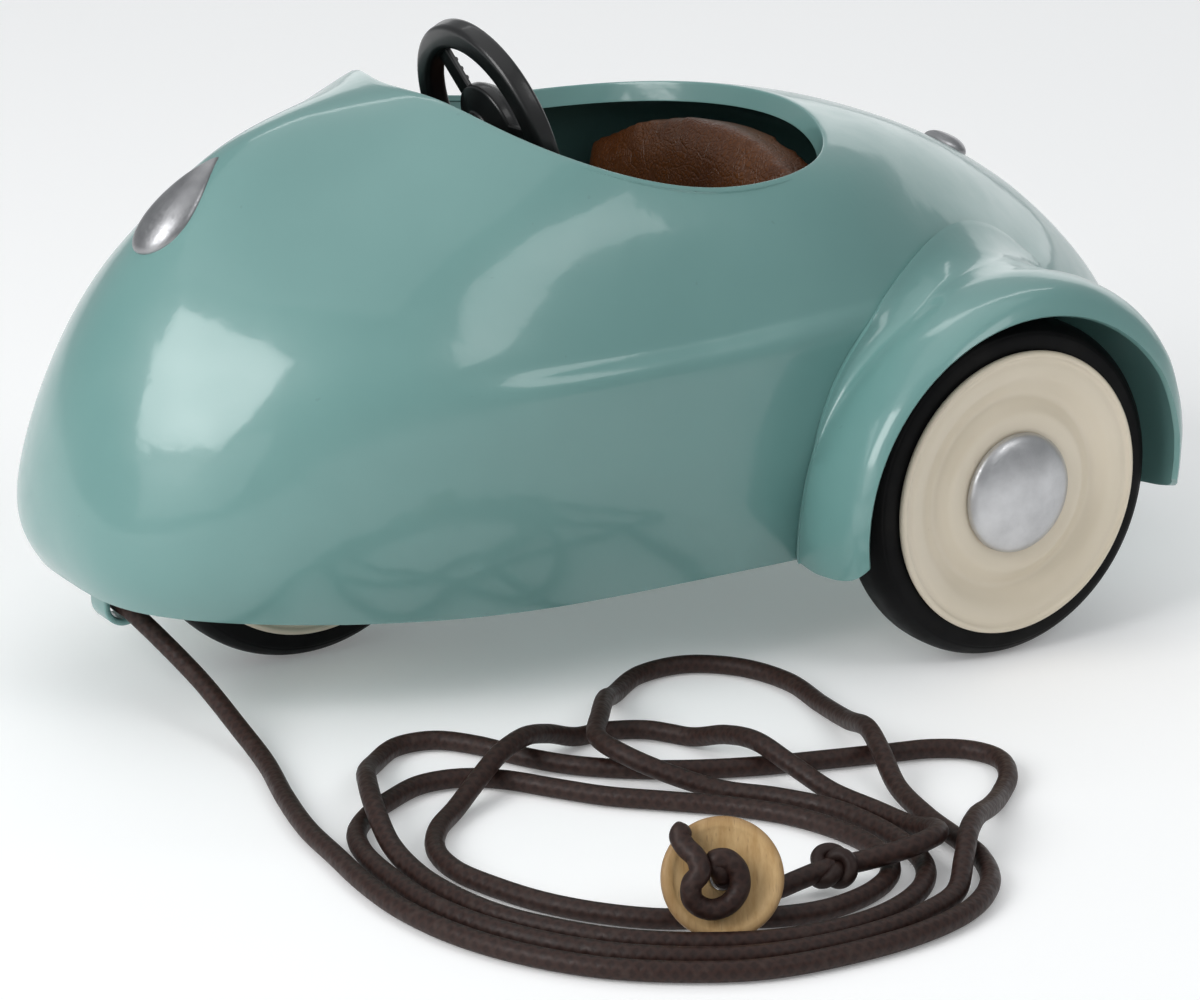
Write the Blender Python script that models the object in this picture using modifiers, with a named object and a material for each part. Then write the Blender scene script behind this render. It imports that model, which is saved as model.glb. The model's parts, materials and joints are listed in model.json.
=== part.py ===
"""Small three-wheeled pull-along car styled as a streamlined pedal car.

Metres, +X towards the nose, +Y to the car's left, +Z up. The origin is on the floor,
under the middle of the car's length and width. Values below are in millimetres and are
multiplied by MM where an object is made.
"""
import math

import bmesh
import bpy
import numpy as np
from mathutils import Matrix, Vector
from mathutils.bvhtree import BVHTree

MM = 0.001
GAP = 0.3                     # clearance between pieces that touch
SHEET = 1.2                   # painted sheet metal

# Wheels, all three alike
WHEEL_R = 33.0
TYRE_HALF_W = 6.0
TYRE_BORE_R = 24.5
DISC_R = 27.6
DISC_EDGE_Y = 7.3             # outer face of a disc's rolled edge, from the wheel's middle
HUB_CAP_R = 11.6
AXLE_R = 2.0
SLEEVE_R = 4.2
SPACER_R = 3.6
SPIN_GAP = 0.25               # radial play of a wheel on its axle

REAR_AXLE_X = -41.6
WHEELBASE = 111.8
FRONT_AXLE_X = REAR_AXLE_X + WHEELBASE
HALF_TRACK = 70.2

# Steering
STEER_HUB = (27.0, 0.0, 96.4)
STEER_TILT = 18.0             # degrees between the column and the horizontal
RING_R = 19.4
RING_SECTION_R = 2.7
STEER_HUB_R = 9.0
SPOKE_ANGLES = (327, 87, 207)   # degrees from the rim's top

# Floor pan and the brackets that carry the axles
FLOOR_Z = 24.0                # underside of the pan
FLOOR_TOP = FLOOR_Z + SHEET
SLOT_HALF_X = 33.0            # opening for the front wheel
SLOT_HALF_Y = 9.5
FRONT_BRACKET_Y = 12.0
REAR_BRACKET_Y = 48.0
BRACKET_T = 1.2
BRACKET_FOOT = 8.0
BRACKET_W = 16.0
SCREW_R = 1.2
SCREW_OUT = 4.6               # a bracket's screws, from its upright and from the axle
SCREW_ALONG = 5.0

# Fenders: radii about their own centre, by distance from the car's middle
FENDER_CENTRE = (-42.4, 30.2)
FENDER_START = -15.0
FENDER_END = 188.0
FENDER_STEPS = 20
FENDER_ROOT_R = 37.4
FENDER_PROFILE = ((63.0, 38.4), (68.0, 39.0), (74.0, 38.9), (77.5, 38.2), (79.2, 36.8))
FENDER_CORNER = (0.0, 0.3, 1.0, 2.5, 4.5, 8.0)   # degrees drawn in at both ends
FENDER_CORNER_SPAN = 22.0
FENDER_LOWEST = 21.5          # the body's side is followed no lower than this
FENDER_SWELL = 4.2            # how much fuller the crown is towards the rear
FENDER_SWELL_AT = 123.0
FENDER_SWELL_SPAN = 69.0
FENDER_SWELL_SHARE = (1.1, 1.0, 1.0, 0.9, 0.65, 0.1)
FENDER_TUCK = 2.2             # how far the rear end is drawn in towards the wheel
FENDER_TUCK_FROM = 145.0

# Lamps: blunt end and tip on the centre line as (x, z)
HEADLAMP = ((98.6, 81.6), (85.0, 98.8), 5.6, 2.4)
TAIL_LAMP = ((-84.3, 76.2), (-75.5, 81.9), 4.5, 2.5)
LAMP_SIDES = 20
LAMP_HEART = 0.38

# Seat
BENCH_X = (-36.0, 21.0)
BENCH_TOP_Z = 44.5
BENCH_HALF_Y = 38.0
BENCH_FEET = (4.0, 6.0)       # lengths of the rear and the front foot
CUSHION_X = (-12.0, 23.0)
CUSHION_TOP_Z = 60.0
BACK_LEAN = 12.0
BACK_TOP = (-30.0, 92.5)
BACK_T = 12.0
BACK_HALF_Y = 45.0
BACK_ARCH_R = 79.0

# Towing loop, pull cord and button
STAPLE_X = 108.0
STAPLE_BOTTOM_Z = 13.2
STAPLE_BEND_R = 4.2
STAPLE_HALF_Y = 3.1
TOW_HOLE = (108.0, -6.0)      # where the pull cord goes up through the pan to its knot
TOW_HOLE_R = 2.6
CORD_R = 1.75
KNOT_HALF = 4.0
CORD_KNOT = (50.8, 146.8, 4.6)   # where the pull cord ends and the button's cord begins
BUTTON_CENTRE = (74.7, 149.9, 9.5)
BUTTON_FACES = (0.41, 0.815, 0.41)
BUTTON_R = 10.0
BUTTON_T = 3.2

# The pull cord's way, knot to knot; it lies in loose turns beside the car
CORD_ROUTE = (
    # out of the towing loop and down to the floor
    (108, -6, 25.3), (108, -5.95, 23.6), (108, -5.1, 20.4), (108, -3, 17.9), (108, -0.2, 16.95),
    (107.8, 5, 16.6), (106, 14, 13.2), (104.3, 26, 8.8), (103.9, 39, 4.4),
    (105.2, 52, 2.1), (109.5, 67, 1.9), (112.8, 81, 1.9),
    # outermost run on the near side
    (114.3, 94, 1.9), (115.6, 106, 1.9), (115.6, 118, 1.9), (113.2, 131, 1.9), (107.8, 143.6, 1.9),
    (99.8, 154.5, 1.9), (89.4, 162.9, 1.9), (78.2, 168.5, 1.9), (64, 170.8, 1.9), (50, 170.6, 1.9),
    (38, 167.5, 1.9), (29, 160.9, 1.9), (24, 151.9, 1.9),
    # far loop, then back over it and along the middle
    (22.4, 143, 1.9), (21, 133, 1.9), (18.6, 121.5, 2.6), (15.4, 112, 5.5), (12.6, 104, 6.6),
    (9.5, 94, 4), (6, 81, 2), (4.4, 68.5, 1.9), (7.6, 57.5, 1.9), (15.5, 50.5, 1.9), (26, 50.5, 1.9),
    (36, 57.5, 2.4), (43, 65.5, 5.6), (49.5, 74, 6.8), (55.2, 82, 6.6), (55, 90.5, 6), (50.2, 97.8, 3.8),
    (44.2, 104.8, 2), (37.8, 112.5, 1.9), (32.6, 122, 1.9), (31, 132.5, 1.9), (31.6, 142.5, 1.9),
    (34.6, 150.8, 1.9),
    # second turn, near side
    (41, 157.4, 1.9), (51, 161.6, 1.9), (62, 162.2, 1.9), (73, 159.6, 1.9), (83.3, 154, 1.9),
    (92.2, 146.5, 1.9), (99, 137.4, 1.9), (103.7, 128, 1.9), (106, 117.5, 1.9), (106.4, 107, 2),
    # round the left end, along the back and out to the right
    (105.6, 97, 3.2), (103.3, 87.5, 6), (99.6, 78.5, 6.6), (95, 70, 4.4), (89.4, 62.6, 2.2),
    (82, 57.2, 1.9), (74.6, 58, 1.9), (69.4, 64, 1.9), (65.2, 73, 1.9), (60.2, 80.8, 1.9),
    (53.2, 87.6, 1.9), (44.5, 93.5, 1.9), (33.5, 98.8, 1.9), (21, 103, 1.9), (9.5, 106.6, 1.9),
    (2, 109, 1.9), (-3.6, 113.4, 1.9), (-5.2, 119.6, 1.9), (-1.6, 126.5, 1.9), (5, 132.6, 1.9),
    (12.6, 139.4, 3.9), (19.5, 144.9, 5.9), (25.2, 150, 6.2), (30.3, 155.4, 4.4), (36.2, 161.2, 2.2),
    # third turn, near side
    (44, 164.4, 1.9), (54, 166.4, 1.9), (66, 166.1, 1.9), (77.2, 163.4, 1.9), (87.2, 157.9, 1.9),
    (96.2, 150.2, 1.9), (103.2, 140.5, 1.9), (108.2, 129.6, 1.9), (110.8, 118, 1.9), (110.9, 106, 1.9),
    # round the left end and through the middle
    (109.9, 96, 1.9), (107, 87.8, 1.9), (101.6, 82, 1.9), (94.8, 77.8, 1.9), (87, 74.6, 1.9),
    (79.4, 75.8, 1.9), (73.2, 80.8, 1.9), (68, 88.4, 1.9), (62.2, 96.4, 1.9), (54.4, 104, 1.9),
    (46.8, 111.6, 1.9), (40.4, 120.6, 1.9), (37, 131, 1.9), (36.8, 141, 1.9), (40.2, 148.6, 1.9),
    (47.4, 153.4, 1.9),
    # innermost run
    (57, 155.2, 1.9), (66.2, 153.2, 1.9), (74.4, 148.4, 1.9), (82.8, 143.5, 1.9), (89.8, 136.2, 1.9),
    (95, 128, 1.9), (98.4, 119, 1.9), (100.4, 110, 1.9),
    # over the others to the knot
    (99.2, 101.2, 1.9), (94.4, 93.4, 1.9), (87.4, 87.6, 2.2), (80.4, 83.2, 4.4), (73.4, 79.2, 6.5),
    (66, 75.2, 6.6), (59.2, 72, 4.6), (52.6, 70.6, 2.1), (46, 70.9, 1.9), (39.4, 74.6, 1.9),
    (35, 81.6, 2), (33.2, 90, 4.9), (32.4, 98.4, 6.3), (31, 107, 4.6), (28.8, 116, 2.2),
    (26.9, 126, 1.9), (26.2, 135.4, 2.3), (27, 143, 4.6), (31.2, 149, 6.6), (37.8, 150.8, 6.6),
    (44, 149, 5.4),
)
BUTTON_CORD_ROUTE = (
    (57.0, 146.2, 3.6), (60.4, 145.6, 2.4), (64.4, 145.4, 2.8), (68.6, 145.6, 5.0),
)

TEAL = (0.20, 0.38, 0.36)
CREAM = (0.56, 0.48, 0.36)
SILVER = (0.55, 0.55, 0.56)
BLACK = (0.012, 0.012, 0.013)
STEEL = (0.42, 0.42, 0.43)
BROWN = (0.13, 0.045, 0.018)
CORD_BROWN = (0.045, 0.026, 0.02)
WOOD = (0.50, 0.34, 0.18)

# The body's skin passes through these points (x, y, z). Each row runs from the nose's
# centre line round the left side to the tail's centre line; the rows climb from the
# body's lower edge to the cockpit rim.
SKIN_ROWS = (
    ((118.0, 0, 23.0), (114.0, 21.0, 22.5), (92.0, 39.5, 21.5), (56.0, 52.5, 20.5), (14.5, 56.0, 20.5),
     (-28.5, 55.5, 20.5), (-72.0, 44.5, 20.5), (-105.0, 23.5, 20.5), (-119.0, 0, 20.5)),
    ((121.5, 0, 36.0), (116.5, 23.5, 36.0), (94.5, 43.0, 36.5), (57.5, 56.0, 37.0), (14.5, 59.5, 38.0),
     (-28.5, 58.5, 38.0), (-73.0, 46.5, 38.0), (-107.0, 25.0, 38.0), (-121.5, 0, 38.0)),
    ((115.0, 0, 62.0), (107.0, 22.5, 62.0), (88.5, 42.0, 62.0), (56.0, 55.0, 62.0), (14.5, 58.0, 62.5),
     (-28.5, 56.5, 65.0), (-66.0, 43.5, 65.0), (-94.0, 23.5, 60.0), (-108.0, 0, 58.5)),
    ((101.0, 0, 83.0), (91.5, 21.0, 81.5), (75.5, 37.5, 80.0), (49.0, 49.5, 78.0), (13.0, 53.5, 76.5),
     (-25.0, 51.5, 78.0), (-56.0, 37.5, 78.5), (-76.0, 19.5, 78.0), (-84.0, 0, 77.5)),
    ((80.5, 0, 100.3), (71.5, 17.5, 95.5), (59.0, 32.5, 93.0), (39.5, 44.5, 89.0), (10.5, 49.0, 86.0),
     (-20.0, 46.5, 86.5), (-42.0, 34.5, 88.0), (-55.0, 17.5, 89.5), (-59.0, 0, 89.5)),
    ((50.0, 0, 108.2), (47.0, 14.0, 107.5), (41.0, 28.0, 103.5), (28.5, 39.5, 97.5), (8.0, 45.0, 92.0),
     (-13.5, 42.5, 91.5), (-27.5, 32.0, 93.0), (-35.5, 16.5, 94.5), (-38.5, 0, 95.0)),
)
LIP_IN = 1.2                  # the rim's lip turns in by this much and down by LIP_DOWN
LIP_DOWN = 4.0
SWAGE_ROW = 2                 # the row pressed as a soft crease along the side
SWAGE_CREASE = 0.35
RIM_CREASE = 0.75
SKIN_LEVELS = 2


def clear_scene():
    for obj in list(bpy.data.objects):
        bpy.data.objects.remove(obj, do_unlink=True)


clear_scene()
scene = bpy.context.scene
parts = bpy.data.collections.new("pedal_car")
cutters = bpy.data.collections.new("cutters")
scene.collection.children.link(parts)
scene.collection.children.link(cutters)


def paint(name, colour, roughness, metallic=0.0):
    """Make a material with one Principled shader."""
    mat = bpy.data.materials.new(name)
    mat.use_nodes = True
    shader = mat.node_tree.nodes["Principled BSDF"]
    shader.inputs["Base Color"].default_value = (*colour, 1.0)
    shader.inputs["Roughness"].default_value = roughness
    shader.inputs["Metallic"].default_value = metallic
    return mat


teal_paint = paint("teal_paint", TEAL, 0.25)
cream_paint = paint("cream_paint", CREAM, 0.35)
silver_paint = paint("silver_paint", SILVER, 0.35, 0.8)
black_enamel = paint("black_enamel", BLACK, 0.2)
tyre_rubber = paint("tyre_rubber", BLACK, 0.6)
bare_steel = paint("bare_steel", STEEL, 0.35, 1.0)
brown_leather = paint("brown_leather", BROWN, 0.5)
waxed_cord = paint("waxed_cord", CORD_BROWN, 0.6)
turned_wood = paint("turned_wood", WOOD, 0.6)


def add_object(name, data, material, collection=parts):
    obj = bpy.data.objects.new(name, data)
    collection.objects.link(obj)
    if material is not None:
        data.materials.append(material)
    return obj


def mesh_from(bm, name):
    """Turn a bmesh into a mesh with smooth faces and sharp edges past 35 degrees."""
    bmesh.ops.recalc_face_normals(bm, faces=bm.faces)
    mesh = bpy.data.meshes.new(name)
    bm.to_mesh(mesh)
    bm.free()
    mesh.shade_smooth()
    mesh.set_sharp_from_angle(angle=math.radians(35))
    return mesh


def evaluated(obj):
    """A new mesh of the object as its modifiers leave it."""
    depsgraph = bpy.context.evaluated_depsgraph_get()
    return bpy.data.meshes.new_from_object(obj.evaluated_get(depsgraph))


def cut(obj, cutter):
    boolean = obj.modifiers.new("cut_" + cutter.name, "BOOLEAN")
    boolean.operation = "DIFFERENCE"
    boolean.object = cutter
    boolean.solver = "EXACT"


def as_cutter(obj):
    obj.hide_render = True
    obj.display_type = "WIRE"
    return obj


def cylinder(name, radius, length, centre, axis, material, collection=parts, segments=16):
    """A solid rod with its middle at centre, lying along axis."""
    bm = bmesh.new()
    bmesh.ops.create_cone(bm, cap_ends=True, segments=segments, radius1=radius * MM,
                          radius2=radius * MM, depth=length * MM)
    obj = add_object(name, mesh_from(bm, name), material, collection)
    obj.location = Vector(centre) * MM
    obj.rotation_euler = Vector(axis).to_track_quat("Z", "Y").to_euler()
    return obj


def turned(name, profile, centre, axis, material, segments=32, collection=parts):
    """Screw a closed profile of (radius, height) points about an axis through centre."""
    bm = bmesh.new()
    verts = [bm.verts.new((r * MM, 0.0, h * MM)) for r, h in profile]
    closed = profile[0][0] > 0.0 and profile[-1][0] > 0.0
    for a, b in zip(verts, verts[1:]):
        bm.edges.new((a, b))
    if closed:
        bm.edges.new((verts[-1], verts[0]))
    mesh = bpy.data.meshes.new(name)
    bm.to_mesh(mesh)
    bm.free()
    obj = add_object(name, mesh, material, collection)
    screw = obj.modifiers.new("turn", "SCREW")
    screw.steps = segments
    screw.render_steps = segments
    screw.use_merge_vertices = True
    screw.merge_threshold = 0.00001
    screw.use_smooth_shade = True
    obj.location = Vector(centre) * MM
    obj.rotation_euler = Vector(axis).to_track_quat("Z", "Y").to_euler()
    return obj


def arc(centre_r, centre_h, radius, start, end, count):
    """Profile points on an arc; angles in degrees from the +radius direction."""
    angles = [math.radians(start + (end - start) * i / count) for i in range(count + 1)]
    return [(centre_r + radius * math.cos(a), centre_h + radius * math.sin(a)) for a in angles]


# --- Body skin -------------------------------------------------------------------

def cage_through(rows):
    """Subdivision cage whose limit surface passes through rows of points.

    A row ends on the mirror plane at both ends; the first and last rows are free edges.
    """
    points = np.array(rows, float)
    levels, ribs, _ = points.shape

    def blend_matrix(size, end_row):
        matrix = np.zeros((size, size))
        for i in range(1, size - 1):
            matrix[i, i - 1:i + 2] = (1 / 6, 4 / 6, 1 / 6)
        matrix[0, :2] = end_row
        matrix[-1, -2:] = end_row[::-1]
        return matrix

    across = blend_matrix(levels, (1.0, 0.0))
    along = blend_matrix(ribs, (4 / 6, 2 / 6))
    along_y = blend_matrix(ribs, (1.0, 0.0))
    cage = np.einsum("ij,jkc->ikc", np.linalg.inv(across), points)
    for c in (0, 2):
        cage[:, :, c] = cage[:, :, c] @ np.linalg.inv(along).T
    cage[:, :, 1] = cage[:, :, 1] @ np.linalg.inv(along_y).T
    return cage


def rim_lip(rim, turn_in, down):
    """Cage row of the lip: the rim's cage row moved into the cockpit and down."""
    middle = np.array((6.0, 0.0))
    lip = rim.copy()
    for point in lip:
        inward = middle - point[:2]
        inward[1] = inward[1] if abs(point[1]) > 1e-6 else 0.0
        point[:2] += inward / np.linalg.norm(inward) * turn_in
        point[2] -= down
    return lip


def body_skin():
    """Left half of the skin as a coarse cage, lower edge to lip."""
    cage = cage_through(SKIN_ROWS)
    cage = np.concatenate([cage, rim_lip(cage[-1], LIP_IN, LIP_DOWN)[None]])
    levels, ribs, _ = cage.shape
    bm = bmesh.new()
    grid = [[bm.verts.new(p * MM) for p in row] for row in cage]
    crease = bm.edges.layers.float.new("crease_edge")
    for i in range(levels - 1):
        for j in range(ribs - 1):
            bm.faces.new((grid[i][j], grid[i][j + 1], grid[i + 1][j + 1], grid[i + 1][j]))
    for j in range(1, ribs - 2):
        bm.edges.get((grid[SWAGE_ROW][j], grid[SWAGE_ROW][j + 1]))[crease] = SWAGE_CREASE
    rim = levels - 2
    for j in range(ribs - 1):
        bm.edges.get((grid[rim][j], grid[rim][j + 1]))[crease] = RIM_CREASE
    return mesh_from(bm, "body_shell")


def add_body():
    obj = add_object("body_shell", body_skin(), teal_paint)
    mirror = obj.modifiers.new("right_half", "MIRROR")
    mirror.use_axis = (False, True, False)
    mirror.merge_threshold = 0.0001
    subsurf = obj.modifiers.new("smooth", "SUBSURF")
    subsurf.levels = SKIN_LEVELS
    subsurf.render_levels = SKIN_LEVELS
    solid = obj.modifiers.new("sheet", "SOLIDIFY")
    solid.thickness = SHEET * MM
    solid.offset = -1.0
    solid.use_even_offset = True
    return obj


body = add_body()
bpy.context.view_layer.update()
body_surface = BVHTree.FromObject(body, bpy.context.evaluated_depsgraph_get())


def skin_y(x, z):
    """Half-width of the body's outside at a place on its left side, in millimetres."""
    hit = body_surface.ray_cast(Vector((x * MM, 0.3, z * MM)), Vector((0, -1, 0)))[0]
    return hit.y / MM


# --- Wheels ----------------------------------------------------------------------

def tyre_profile():
    """Round-shouldered ring, as (radius, height) with the height along the axle."""
    shoulder = 3.2
    crown = WHEEL_R - shoulder
    side = TYRE_HALF_W - shoulder
    top = arc(crown, side, shoulder, 90, 0, 3)
    bottom = arc(crown, -side, shoulder, 0, -90, 3)
    return ([(TYRE_BORE_R, TYRE_HALF_W - 0.6)] + top + bottom
            + [(TYRE_BORE_R, 0.6 - TYRE_HALF_W)])


def disc_profile(side):
    """Pressed wheel disc with a rolled edge, a groove and a raised middle; side is +1 or -1."""
    edge = DISC_EDGE_Y
    bore = AXLE_R + SPIN_GAP
    face = [(bore, edge - 1.9), (16.6, edge - 1.4), (18.6, edge - 2.5), (22.4, edge - 1.2),
            (26.4, edge), (DISC_R, edge - 0.5)]
    back = [(DISC_R - 0.3, edge - 1.2), (22.2, edge - 2.3), (18.4, edge - 3.5), (16.2, edge - 2.4),
            (bore, edge - 2.9)]
    outline = face + back
    return outline if side > 0 else [(r, -h) for r, h in reversed(outline)]


def cap_profile():
    """Domed hub cap over the axle's end."""
    dome = [(HUB_CAP_R * math.sin(a), 4.6 * math.cos(a) - 0.6)
            for a in (math.radians(d) for d in (0, 18, 36, 54, 72, 88))]
    hollow = [(HUB_CAP_R - 1.2, -0.2), (HUB_CAP_R - 1.8, 0.8), (6.5, 2.4), (0.0, 3.0)]
    return dome + hollow


def add_wheel(name, x, y, cap_side):
    """One wheel about an axle along Y, its pieces under one empty; cap_side is +1, -1 or 0."""
    hub = bpy.data.objects.new(name + "_hub", None)
    parts.objects.link(hub)
    hub.location = (x * MM, y * MM, WHEEL_R * MM)
    axis = (0, 1, 0)
    pieces = [turned(name + "_tyre", tyre_profile(), (0, 0, 0), axis, tyre_rubber, 24)]
    for side, label in ((1, "left"), (-1, "right")):
        disc = turned(name + "_disc_" + label, disc_profile(side), (0, 0, 0), axis, cream_paint, 20)
        pieces.append(disc)
    half = DISC_EDGE_Y - 2.9 - GAP
    bore = AXLE_R + SPIN_GAP
    sleeve = [(SLEEVE_R, half), (SLEEVE_R, -half), (bore, -half), (bore, half)]
    pieces.append(turned(name + "_bush", sleeve, (0, 0, 0), axis, bare_steel, 16))
    if cap_side:
        seat = cap_side * (DISC_EDGE_Y - 1.0 + GAP)
        cap = turned(name + "_hub_cap", cap_profile(), (0, seat, 0), (0, cap_side, 0), silver_paint, 20)
        pieces.append(cap)
    for piece in pieces:
        piece.parent = hub


add_wheel("rear_left", REAR_AXLE_X, HALF_TRACK, 1)
add_wheel("rear_right", REAR_AXLE_X, -HALF_TRACK, -1)
add_wheel("front", FRONT_AXLE_X, 0.0, 0)


# --- Flat and bent pieces ----------------------------------------------------------

def rounded_box(half_x, half_y, radius, count=4):
    """Corner-rounded rectangle as a closed list of (x, y)."""
    points = []
    for corner, (sx, sy) in enumerate(((1, 1), (-1, 1), (-1, -1), (1, -1))):
        points += arc(sx * (half_x - radius), sy * (half_y - radius), radius,
                      90 * corner, 90 * corner + 90, count)
    return points


def circle(x, y, radius, count):
    return arc(x, y, radius, 0, 360 * (count - 1) / count, count - 1)


def flat_piece(name, outlines, thickness, material, collection=parts):
    """Sheet cut to closed outlines in its own XY plane, holes included, as a mesh."""
    curve = bpy.data.curves.new(name, "CURVE")
    curve.dimensions = "2D"
    curve.fill_mode = "BOTH"
    curve.extrude = thickness / 2 * MM
    for outline in outlines:
        spline = curve.splines.new("POLY")
        spline.points.add(len(outline) - 1)
        for point, (x, y) in zip(spline.points, outline):
            point.co = (x * MM, y * MM, 0.0, 1.0)
        spline.use_cyclic_u = True
    flat = add_object(name + "_outline", curve, None, collection)
    mesh = evaluated(flat)
    bpy.data.objects.remove(flat, do_unlink=True)
    bm = bmesh.new()
    bm.from_mesh(mesh)
    bpy.data.meshes.remove(mesh)
    bmesh.ops.remove_doubles(bm, verts=bm.verts, dist=0.00001)
    return add_object(name, mesh_from(bm, name), material, collection)


def placed(obj, location, rotation=(0, 0, 0)):
    obj.location = Vector(location) * MM
    obj.rotation_euler = [math.radians(a) for a in rotation]
    return obj


UPRIGHT_XZ = (90, 0, 0)       # outline x along X, outline y up, sheet normal along Y
UPRIGHT_YZ = (90, 0, 90)      # outline x along Y, outline y up, sheet normal along X


def bent_strip(path, thickness):
    """Closed outline of a strip of sheet bent along a path of (x, y) points."""
    left, right = [], []
    for i, point in enumerate(path):
        here = Vector(point)
        before = Vector(path[max(i - 1, 0)])
        after = Vector(path[min(i + 1, len(path) - 1)])
        a = (here - before).normalized() if i else (after - here).normalized()
        b = (after - here).normalized() if i < len(path) - 1 else a
        across = Vector((-(a.y + b.y), a.x + b.x)).normalized()
        reach = thickness / 2 / max(across.dot(Vector((-a.y, a.x))), 0.5)
        left.append(tuple(here + across * reach))
        right.append(tuple(here - across * reach))
    return left + right[::-1]


def bspline(row, per_span):
    """Points of the uniform cubic B-spline of a cage row mirrored at both its ends."""
    mirrored = np.array((1.0, -1.0, 1.0))
    row = np.concatenate([[row[1] * mirrored], row, [row[-2] * mirrored]])
    points = []
    for i in range(len(row) - 3):
        for t in np.arange(per_span) / per_span:
            weights = ((1 - t) ** 3, 3 * t ** 3 - 6 * t ** 2 + 4,
                       3 * (t + t ** 2 - t ** 3) + 1, t ** 3)
            points.append(sum(w * p for w, p in zip(weights, row[i:i + 4])) / 6)
    points.append((row[-3] + row[-2] * 4 + row[-1]) / 6)
    return points


def floor_outline(inset):
    """The body's lower edge, moved inwards, as a closed outline seen from above."""
    half = [Vector(p[:2]) for p in bspline(cage_through(SKIN_ROWS)[0], 3)]
    loop = half + [Vector((p.x, -p.y)) for p in reversed(half[1:-1])]
    outline = []
    for i, point in enumerate(loop):
        along = (loop[(i + 1) % len(loop)] - loop[i - 1]).normalized()
        outline.append(tuple(point + Vector((-along.y, along.x)) * inset))
    return outline


BRACKETS = (
    ("front_bracket_left", FRONT_AXLE_X, FRONT_BRACKET_Y, 1),
    ("front_bracket_right", FRONT_AXLE_X, -FRONT_BRACKET_Y, -1),
    ("rear_bracket_left", REAR_AXLE_X, REAR_BRACKET_Y, -1),
    ("rear_bracket_right", REAR_AXLE_X, -REAR_BRACKET_Y, 1),
)


def screw_places(x, y, side):
    return [(x + along, y + side * SCREW_OUT) for along in (-SCREW_ALONG, SCREW_ALONG)]


def add_floor():
    slot = [(FRONT_AXLE_X + x, y) for x, y in rounded_box(SLOT_HALF_X, SLOT_HALF_Y, 6)]
    holes = [circle(*place, SCREW_R + GAP, 10)
             for _, x, y, side in BRACKETS for place in screw_places(x, y, side)]
    holes.append(circle(*TOW_HOLE, TOW_HOLE_R, 16))
    pan = flat_piece("floor_pan", [floor_outline(SHEET + 2 * GAP), slot] + holes, SHEET, teal_paint)
    placed(pan, (0, 0, FLOOR_Z + SHEET / 2))


def add_bracket(name, x, y, side):
    """L bracket on the floor pan; its upright carries an axle, its foot points to side."""
    base = FLOOR_TOP + GAP + BRACKET_T / 2
    path = [(side * BRACKET_FOOT, base), (0, base), (0, WHEEL_R + 6.0)]
    bracket = flat_piece(name, [bent_strip(path, BRACKET_T)], BRACKET_W, bare_steel)
    placed(bracket, (x, y, 0), UPRIGHT_YZ)
    bore = cylinder(name + "_bore", AXLE_R + GAP, 8, (x, y, WHEEL_R), (0, 1, 0), None, cutters)
    cut(bracket, as_cutter(bore))
    for i, place in enumerate(screw_places(x, y, side)):
        drill = cylinder(f"{name}_drill_{i}", SCREW_R + GAP, 6, (*place, base), (0, 0, 1), None,
                         cutters, 10)
        cut(bracket, as_cutter(drill))
        add_screw(f"{name}_screw_{i + 1}", *place)


def add_screw(name, x, y):
    """Pan-head screw down through a bracket's foot and the floor pan."""
    seat = FLOOR_TOP + BRACKET_T + 2 * GAP
    tip = FLOOR_Z - 1.5
    profile = [(0, seat + 1.3), (1.8, seat + 1.0), (2.4, seat), (SCREW_R, seat),
               (SCREW_R, tip), (0, tip)]
    turned(name, profile, (x, y, 0), (0, 0, 1), bare_steel, 8)


# --- Axles -------------------------------------------------------------------------

def ring(name, radius, bore, start, end, origin, axis, segments=16):
    """Tube from start to end along an axis through origin."""
    profile = [(radius, end), (radius, start), (bore, start), (bore, end)]
    turned(name, profile, origin, axis, bare_steel, segments)


def add_axles():
    cap_end = HALF_TRACK + DISC_EDGE_Y + 0.9
    cylinder("rear_axle", AXLE_R, 2 * cap_end, (REAR_AXLE_X, 0, WHEEL_R), (0, 1, 0), bare_steel)
    cylinder("front_axle", AXLE_R, 2 * (FRONT_BRACKET_Y + 2.5), (FRONT_AXLE_X, 0, WHEEL_R), (0, 1, 0),
             bare_steel, segments=16)
    face = DISC_EDGE_Y - 1.9 + GAP
    bracket_in = FRONT_BRACKET_Y - BRACKET_T / 2 - GAP
    bracket_out = FRONT_BRACKET_Y + BRACKET_T / 2 + GAP
    skin_out = skin_y(REAR_AXLE_X + SPACER_R, WHEEL_R + SPACER_R) + 2 * GAP
    bore = AXLE_R + SPIN_GAP
    for side, label in ((1, "left"), (-1, "right")):
        rear = ((REAR_AXLE_X, 0, WHEEL_R), (0, side, 0))
        front = ((FRONT_AXLE_X, 0, WHEEL_R), (0, side, 0))
        ring(f"rear_spacer_{label}", SPACER_R, bore, skin_out, HALF_TRACK - face, *rear)
        ring(f"rear_push_nut_{label}", 4.4, bore, HALF_TRACK + face, HALF_TRACK + face + 0.9, *rear)
        ring(f"front_spacer_{label}", SPACER_R, bore, face, bracket_in, *front)
        ring(f"front_push_nut_{label}", 4.4, bore, bracket_out, bracket_out + 0.9, *front)
    holes = cylinder("axle_holes", AXLE_R + 2 * GAP, 2 * HALF_TRACK, (REAR_AXLE_X, 0, WHEEL_R), (0, 1, 0),
                     None, cutters, 16)
    cut(body, as_cutter(holes))


# --- Fenders -----------------------------------------------------------------------

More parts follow.
